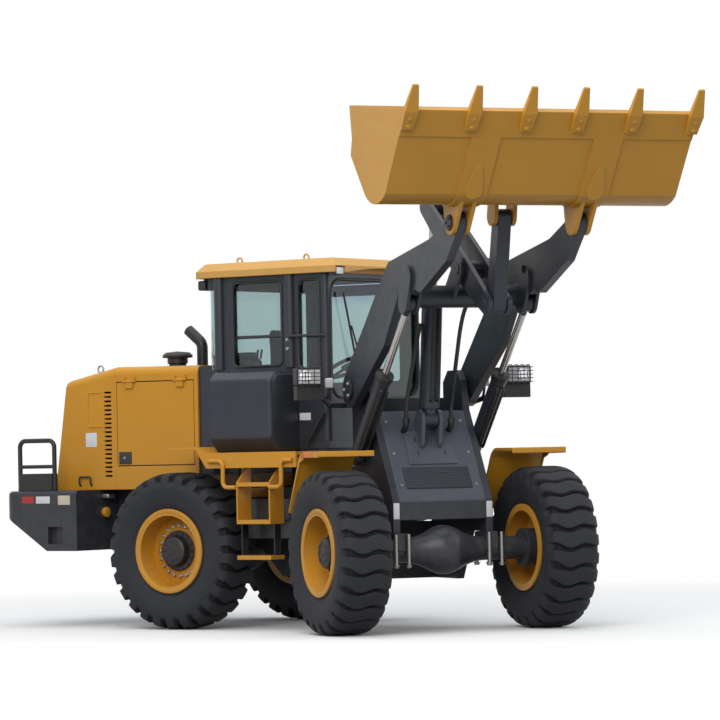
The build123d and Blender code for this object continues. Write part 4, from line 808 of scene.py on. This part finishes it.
# The console beside the seat: a moulded plastic box with rounded edges, an arm rest and two short levers.
# It stands on the cab's floor at the driver's right.
LEVER_Y, LEVER_FOOT, LEVER_TOP, LEVER_LEAN, LEVER_R = -0.52, 2.27, 2.345, 0.015, 0.010
console = [rounded_box((-1.12, -0.61, 1.57), (-0.84, -0.44, 2.28), 0.05)]
console.append(rounded_box((-1.10, -0.60, 2.26), (-0.88, -0.45, 2.325), 0.028))
console += [tube([(x, LEVER_Y, LEVER_FOOT), (x + LEVER_LEAN, LEVER_Y, LEVER_TOP)], LEVER_R)
            for x in (-0.86, -0.82)]
rear_piece("arm_console", console, plastic)

# Head and turn lamps on the front half: a pale lens with a bright bowl in each box, a wire guard in front of
# it, and a white turn lamp on a stalk beside it. A white reflector is fixed to each side of the nose.
side = np.array(joint["wheel_front_left"]["axis"])
FRONT_AXES = np.stack([np.cross(side, up), side, up])


def front(points):
    """Points given from the ground under the steering hinge along the front half, turned with it."""
    return hinge + np.asarray(points, float) @ FRONT_AXES


def turned(part):
    """A part drawn along the front half, turned and moved to its place."""
    return front(part[0]), part[1]


def front_piece(name, parts, finish):
    """A piece of the front half whose parts are drawn from the hinge along it."""
    return make(name, [turned(part) for part in parts], finish, "front")


LAMP_X, LAMP_Y, LAMP_Z, LAMP_HALF, LAMP_HIGH = 0.85, 0.937, 2.084, 0.11, 0.075
LENS_X, LENS_IN, LENS_DOWN = (LAMP_X - 0.004, LAMP_X + 0.012), 0.014, 0.012
BOWL_OUT, BOWL_PROFILE = 0.035, [(0.0125, 0.05), (0.016, 0.045), (0.0135, 0.02), (0.0135, 0)]
GUARD_FOOT, GUARD_FRONT, GUARD_PAST, WIRE_R = LAMP_X - 0.02, LAMP_X + 0.045, 0.006, 0.0035
GUARD_ROWS, GUARD_COLUMNS = np.linspace(-0.06, 0.06, 5), np.linspace(-0.08, 0.08, 4)
TURN_LAMP_Y, NOSE_Y = 0.70, 0.41
mirror_bowl = small_finish("lamp_reflector", (0.82, 0.83, 0.85), 0.1, 1.0)


def guard_wire(start, end):
    """A wire from one (across, up) point on the lamp's box to another, standing off in front of the lens."""
    return tube([(GUARD_FOOT, *start), (GUARD_FRONT, *start), (GUARD_FRONT, *end), (GUARD_FOOT, *end)],
                WIRE_R, 0.02, 6)


for hand, sign in SIDES:
    lens_z = (LAMP_Z - LAMP_HIGH + LENS_DOWN, LAMP_Z + LAMP_HIGH - LENS_DOWN)
    lens_face = side_box(sign, LENS_X, LAMP_Y, LAMP_HALF - LENS_IN, lens_z, 0.007)
    front_piece(f"head_lamp_lens_{hand}", [lens_face], white_tape)
    bowl = lathe(BOWL_PROFILE, (LAMP_X, sign * (LAMP_Y + BOWL_OUT), LAMP_Z), (1, 0, 0), 28)
    front_piece(f"head_lamp_bowl_{hand}", [bowl], mirror_bowl)
    middle, wide, high = sign * LAMP_Y, LAMP_HALF + GUARD_PAST, LAMP_HIGH + GUARD_PAST
    wires = [guard_wire((middle - wide, z), (middle + wide, z)) for z in LAMP_Z + GUARD_ROWS]
    wires += [guard_wire((y, LAMP_Z - high), (y, LAMP_Z + high)) for y in middle + GUARD_COLUMNS]
    front_piece(f"head_lamp_guard_{hand}", wires, plastic)
    y = sign * TURN_LAMP_Y
    stalk = tube([(0.60, y, 1.88), (0.66, y, 1.93), (0.675, y, 2.02)], 0.012)
    front_piece(f"turn_lamp_stalk_{hand}", [stalk], plastic)
    turn_lamp = side_box(sign, (0.66, 0.71), TURN_LAMP_Y, 0.03, (1.992, 2.075), 0.012)
    front_piece(f"turn_lamp_{hand}", [turn_lamp], white_tape)
    nose = side_box(sign, (1.366, 1.374), NOSE_Y, 0.026, (0.915, 1.045), 0.003)
    front_piece(f"nose_reflector_{hand}", [nose], white_tape)

# The front fenders' folded edges: a lip along the front edge, and one that follows the outer edge round the
# bend and tapers out down the back, with an amber reflector on the right one.
FENDER_IN, FENDER_OUT, FENDER_TOP, FENDER_FRONT = 0.610, 1.080, 1.475, 1.400
FENDER_BEND, FENDER_BEND_R, FENDER_TAIL = np.array((1.0, FENDER_TOP)), 0.150, np.array((0.715, 0.985))
LIP_DEEP, LIP_SWELL, LIP_TAPER, LIP_THICK = 0.050, 0.022, 0.035, 0.012
FRONT_LIP_X, FRONT_LIP_DEEP = (FENDER_FRONT - 0.002, FENDER_FRONT + 0.010), 0.046
EDGE_STEPS = 24


def fender_edge():
    """The fender's outer edge from front to tail as (forward, up): a level run, an arc and a sloping run,
    with the unit normals that point under the fender."""
    slope = unit(FENDER_TAIL - FENDER_BEND)
    turn = math.acos(-slope[0])
    cut = FENDER_BEND_R * math.tan(turn / 2)
    centre = FENDER_BEND + (cut, -FENDER_BEND_R)
    angle = np.linspace(0, turn, EDGE_STEPS)[:, None]
    out = np.concatenate([-np.sin(angle), np.cos(angle)], axis=1)
    arc = centre + FENDER_BEND_R * out
    tail = arc[-1] + np.linspace(0, 1, EDGE_STEPS)[:, None] * (FENDER_TAIL - arc[-1])
    run = np.concatenate([[(FENDER_FRONT, FENDER_TOP)], arc, tail])
    under = -np.concatenate([out[:1], out, np.repeat(out[-1:], EDGE_STEPS, axis=0)])
    return run, under


edge_run, edge_under = fender_edge()
edge_share = np.linspace(0, 1, len(edge_run))[:, None]
edge_swell = LIP_SWELL * np.sin(np.pi * np.clip(edge_share * 2, 0, 1))
edge_deep = edge_run + edge_under * (LIP_DEEP + edge_swell - LIP_TAPER * edge_share)
lip_faces = grid_faces(len(edge_run), 4, closed_cols=True).tolist()
lip_faces += [[0, 1, 2, 3], [4 * len(edge_run) - k for k in (4, 3, 2, 1)]]
lip_out = FENDER_OUT + LIP_THICK
for hand, sign in SIDES:
    ring = [(edge_run, FENDER_OUT), (edge_run, lip_out), (edge_deep, lip_out), (edge_deep, FENDER_OUT)]
    band = np.stack([np.insert(line, 1, sign * y, axis=1) for line, y in ring], axis=1)
    front_lip = side_box(sign, FRONT_LIP_X, (FENDER_IN + lip_out) / 2, (lip_out - FENDER_IN) / 2,
                         (FENDER_TOP - FRONT_LIP_DEEP, FENDER_TOP), 0.004)
    front_piece(f"fender_lip_{hand}", [(band, lip_faces), front_lip], yellow)
amber = side_box(-1, (1.03, 1.235), lip_out, REFLECTOR_HALF, (1.424, 1.466), 0.003)
front_piece("fender_reflector_right", [amber], amber_lens)

# The front cover: a sloping steel plate with a raised middle panel, a mesh vent below it, screws and four
# keyhole slots. The two hose elbows come through it.
COVER_TOP, COVER_FOOT = np.array((0.945, 0, 1.790)), np.array((1.370, 0, 1.067))
VENT_WIRE_HALF, VENT_WIRE_OFF, VENT_WIRE_R = 0.285, 0.011, 0.003
SCREW_DOWN, SCREW_Y, SCREW = (0.10, 0.40, 0.70), 0.33, 0.010
SLOT_DOWN, SLOT_Y, SLOT_HALF, SLOT_LONG = (0.25, 0.38), 0.12, 0.008, 0.05
cover_down = unit(COVER_FOOT - COVER_TOP)
cover_out = np.array((-cover_down[2], 0, cover_down[0]))
COVER_AXES = np.stack([cover_down, (0, 1, 0), cover_out])


def on_cover(points):
    """Points given flat as (down the cover, across, off its face), laid on the sloping cover."""
    return COVER_TOP + np.asarray(points) @ COVER_AXES


def cover_piece(name, parts, finish):
    """A piece whose parts are drawn flat on the cover."""
    return front_piece(name, [(on_cover(points), faces) for points, faces in parts], finish)


cover_grey = paint("cover_grey_paint", (0.066, 0.075, 0.100), roughness=0.4, dust=0.2, mottle=0.14)
mesh_finish = small_finish("vent_mesh", (0.022, 0.024, 0.030), 0.6, scale=260.0, mottle=0.5)
coat(cover_grey, "front_cover")
panel = rounded_box((0.20, -0.21, -0.01), (0.51, 0.21, 0.012), 0.008)
cover_piece("cover_panel", [panel], cover_grey)
vent = rounded_box((0.535, -0.29, -0.01), (0.735, 0.29, 0.01), 0.006)
cover_piece("cover_vent", [vent], mesh_finish)
vent_wires = [tube([(s, y, VENT_WIRE_OFF) for y in (-VENT_WIRE_HALF, VENT_WIRE_HALF)], VENT_WIRE_R, steps=6)
              for s in np.linspace(0.545, 0.725, 13)]
cover_piece("cover_vent_wires", vent_wires, cover_grey)
screw_spots = [front(on_cover((s, sign * SCREW_Y, 0))) for s in SCREW_DOWN for sign in (-1, 1)]
screws = [part for spot in screw_spots for part in bolt(spot, cover_out @ FRONT_AXES, SCREW)]
make("cover_screws", screws, zinc, "front")
slots = [rounded_box((s, y - SLOT_HALF, 0.008), (s + SLOT_LONG, y + SLOT_HALF, 0.0135), 0.004)
         for s in SLOT_DOWN for y in (-SLOT_Y, SLOT_Y)]
cover_piece("cover_slots", slots, hose_rubber)

# Hoses: black wire-braided hoses rise from steel elbows on the cover to the tilt cylinder and to the boom's
# cross tube.
HOSE_R, ELBOW_R, ELBOW_NUT = 0.017, 0.024, [(0, 0.03), (0.03, 0.03), (0.03, 0.02), (0, 0.02)]
ELBOW_X, ELBOW_Y, ELBOW_Z = 1.075, 0.20, 1.64
ELBOW_RUN = ((-0.06, 0, -0.03), (0.03, 0, 0.02), (0.035, 0, 0.09))
NUT_FROM_ELBOW = (0.034, 0, 0.055)


def hose_line(points, count=60):
    """A smooth curve through points: each coordinate is a cubic Hermite curve with Catmull-Rom slopes."""
    points = np.asarray(points, float)
    slopes = np.gradient(points, axis=0)
    t = np.linspace(0, len(points) - 1, count)
    k = np.minimum(t.astype(int), len(points) - 2)
    u = (t - k)[:, None]
    return ((2 * u**3 - 3 * u**2 + 1) * points[k] + (u**3 - 2 * u**2 + u) * slopes[k]
            + (3 * u**2 - 2 * u**3) * points[k + 1] + (u**3 - u**2) * slopes[k + 1])


def join_hose(name, points):
    """A hose through points in the front half's axes, fixed in place on no body."""
    line = front(hose_line(points))
    hose = make(name, [tube(line, HOSE_R, 0.004, 12)], hose_rubber, None, sharp=180)
    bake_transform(hose)


elbows = []
for sign in (-1, 1):
    elbow = np.array((ELBOW_X, sign * ELBOW_Y, ELBOW_Z))
    elbows.append(turned(tube(elbow + ELBOW_RUN, ELBOW_R, 0.05)))
    elbows.append(lathe(ELBOW_NUT, front(elbow + NUT_FROM_ELBOW), up, 6))
make("hose_elbows", elbows, black, "front")
join_hose("boom_hose", [(1.11, 0.20, 1.72), (1.14, 0.19, 1.85), (1.28, 0.16, 2.05), (1.42, 0.13, 2.25),
                        (1.52, 0.12, 2.45), (1.62, 0.12, 2.60), (1.755, 0.12, 2.67)])
join_hose("tilt_hose", [(1.11, -0.20, 1.72), (1.13, -0.20, 1.85), (1.17, -0.17, 2.10), (1.20, -0.13, 2.35),
                        (1.21, -0.10, 2.50)])

# The lift and tilt cylinders' ends: hard chromed rods come out of bolted glands, two steel pipes run along
# each barrel, and a dark cast eye with a collar is screwed to each rod's end.
LIFT_FOOT, LIFT_TIP, LIFT_Y = np.array((0.80, 0, 1.42)), np.array((1.955, 0, 2.631)), 0.512
TILT_FOOT, TILT_TIP = np.array((1.12, 0, 1.72)), np.array((1.32, 0, 3.45))
PIPE_R, PIPE_APART, PIPE_START, PIPE_STOP, PIPE_OFF, PIPE_SUNK = 0.011, 0.028, 0.16, 0.10, 0.02, -0.01
EYE_BORE_R, GLAND_BOLT_COUNT, GLAND_BOLT = 0.037, 8, 0.007
chrome = small_finish("hard_chrome", (0.40, 0.385, 0.37), 0.16, 1.0)
coat(chrome, "tilt_rod", *[f"{kind}_rod_{hand}" for kind in ("lift", "steer") for hand in ("left", "right")])


def cylinder_trim(kind, hand, foot, tip, y, barrel_r, rod_r, end, eye_r, half, lip):
    """A barrel's bolted gland and its two pipes, and the dark eye with its collar on the rod's end: profiles
    turned round the line from foot to tip, and tubes beside it."""
    way = unit(tip - foot)
    rod_way = way @ FRONT_AXES
    off = np.array((0, y, 0))
    face = foot + end * way + off
    gland_profile = [(-0.03, barrel_r + lip), (0.006, barrel_r + lip), (0.010, barrel_r - 0.01),
                     (0.016, rod_r + 0.012), (0.020, rod_r + 0.003)]
    gland = [lathe(gland_profile, front(face), rod_way, 40)]
    gland += bolt_ring(front(face + 0.006 * way), rod_way, barrel_r - 0.008, GLAND_BOLT_COUNT, GLAND_BOLT)
    make(f"{kind}{hand}_gland", gland, black, f"{kind}_barrel{hand}")
    out = np.cross((0, 1, 0), way)
    stop = end - PIPE_STOP
    run = [foot + along * way + (barrel_r + proud) * out for along, proud in (
        (PIPE_START, PIPE_SUNK), (PIPE_START, PIPE_OFF), (stop, PIPE_OFF), (stop, PIPE_SUNK))]
    pipes = [turned(tube([p + off + (0, shift, 0) for p in run], PIPE_R))
             for shift in (-PIPE_APART, PIPE_APART)]
    make(f"{kind}{hand}_pipes", pipes, black, f"{kind}_barrel{hand}")
    shell = [(-half, EYE_BORE_R), (-half, eye_r + 0.004), (half, eye_r + 0.004), (half, EYE_BORE_R)]
    collar_r = min(rod_r + 0.016, half)
    collar = [(eye_r * 0.6, collar_r), (eye_r + 0.035, collar_r), (eye_r + 0.045, rod_r + 0.001)]
    eye = [lathe(shell, front(tip + off), side, 40), lathe(collar, front(tip + off), -rod_way, 32)]
    make(f"{kind}{hand}_rod_eye", eye, grey, f"{kind}_rod{hand}")


for hand, sign in SIDES:
    cylinder_trim("lift", f"_{hand}", LIFT_FOOT, LIFT_TIP, sign * LIFT_Y, barrel_r=0.062, rod_r=0.029,
                  end=0.905, eye_r=0.065, half=0.0302, lip=0.014)
cylinder_trim("tilt", "", TILT_FOOT, TILT_TIP, 0, barrel_r=0.085, rod_r=0.040,
              end=1.060, eye_r=0.070, half=0.0552, lip=0.003)

# Pins, bolts and welds on the linkage: three bolts hold each keeper of the boom, lift and bucket pins, weld
# beads run where the cross tube meets the arms, two bolts go through each tooth, and long bolts clamp the
# front axle.
BOOM_PIN, BOOM_PIN_BOLTS_R, BOOM_PIN_BOLT = (0.75, 0.572, 1.975), 0.055, 0.013
LIFT_PIN, LIFT_PIN_BOLTS_R, LIFT_PIN_BOLT = (0.80, 0.567, 1.42), 0.030, 0.009
BUCKET_PIN, BUCKET_PIN_BOLTS_R, BUCKET_PIN_BOLT = (2.95, 0.582, 3.21), 0.034, 0.009
CAP_THICK, CAP_PROFILE = 0.018, [(0, 0.062), (0.012, 0.062), (0.018, 0.055), (0.018, 0)]
CROSS_TUBE, WELD_Y, WELD_RING_R, WELD_R = (1.85, 0, 2.69), 0.471, 0.091, 0.008
bead_turn = np.linspace(0, 2 * np.pi, 9)
bead = np.stack([WELD_Y + WELD_R * np.sin(bead_turn), WELD_RING_R + WELD_R * np.cos(bead_turn)], axis=-1)
for hand, sign in SIDES:
    out, swap = side * sign, np.array((1, sign, 1))
    for name, pin, radius, size in (("boom_pin", BOOM_PIN, BOOM_PIN_BOLTS_R, BOOM_PIN_BOLT),
                                    ("lift_pin", LIFT_PIN, LIFT_PIN_BOLTS_R, LIFT_PIN_BOLT)):
        keeper = bolt_ring(front(pin * swap), out, radius, 3, size)
        make(f"{name}_bolts_{hand}", keeper, zinc, "front")
    spot = front(BUCKET_PIN * swap)
    cap = [lathe(CAP_PROFILE, spot, out, 32)]
    cap += bolt_ring(spot + CAP_THICK * out, out, BUCKET_PIN_BOLTS_R, 3, BUCKET_PIN_BOLT)
    make(f"bucket_pin_cap_{hand}", cap, black, "bucket")
    weld = lathe(bead, front(CROSS_TUBE), out, 48)
    make(f"cross_tube_weld_{hand}", [weld], grey, "boom")
BUCKET_LIP, BUCKET_FLOOR, BUCKET_HALF = np.array((3.625, 0, 4.020)), np.array((3.210, 0, 3.420)), 1.225
TOOTH_SHARES, TOOTH_BOLTS_BACK = (0.972, 0.546, 0.176), (0.125, 0.055)
TOOTH_THICK, TOOTH_BOLT = 0.058, 0.018
floor_way = unit(BUCKET_LIP - BUCKET_FLOOR)
floor_out = np.array((floor_way[2], 0, -floor_way[0]))
tooth_bolts = []
for share in TOOTH_SHARES:
    for sign in (-1, 1):
        for back in TOOTH_BOLTS_BACK:
            tooth = BUCKET_LIP + (0, sign * share * BUCKET_HALF, 0)
            spot = tooth - back * floor_way + TOOTH_THICK * floor_out
            tooth_bolts += bolt(front(spot), floor_out @ FRONT_AXES, TOOTH_BOLT)
make("tooth_bolts", tooth_bolts, bucket_yellow, "bucket")
AXLE_X, CLAMP_FROM_AXLE, CLAMP_Y, CLAMP_R = 1.35, 0.128, (0.355, 0.465), 0.015
CLAMP_FOOT, CLAMP_TOP, CLAMP_NUT_Z, CLAMP_NUT = 0.53, 0.795, 0.545, 0.022
clamps = []
for sign in (-1, 1):
    for x in (AXLE_X - CLAMP_FROM_AXLE, AXLE_X + CLAMP_FROM_AXLE):
        for y in CLAMP_Y:
            clamps.append(turned(tube([(x, sign * y, CLAMP_FOOT), (x, sign * y, CLAMP_TOP)], CLAMP_R)))
            clamps += bolt(front((x, sign * y, CLAMP_NUT_Z)), -up, CLAMP_NUT)
make("axle_clamps", clamps, zinc, "front")
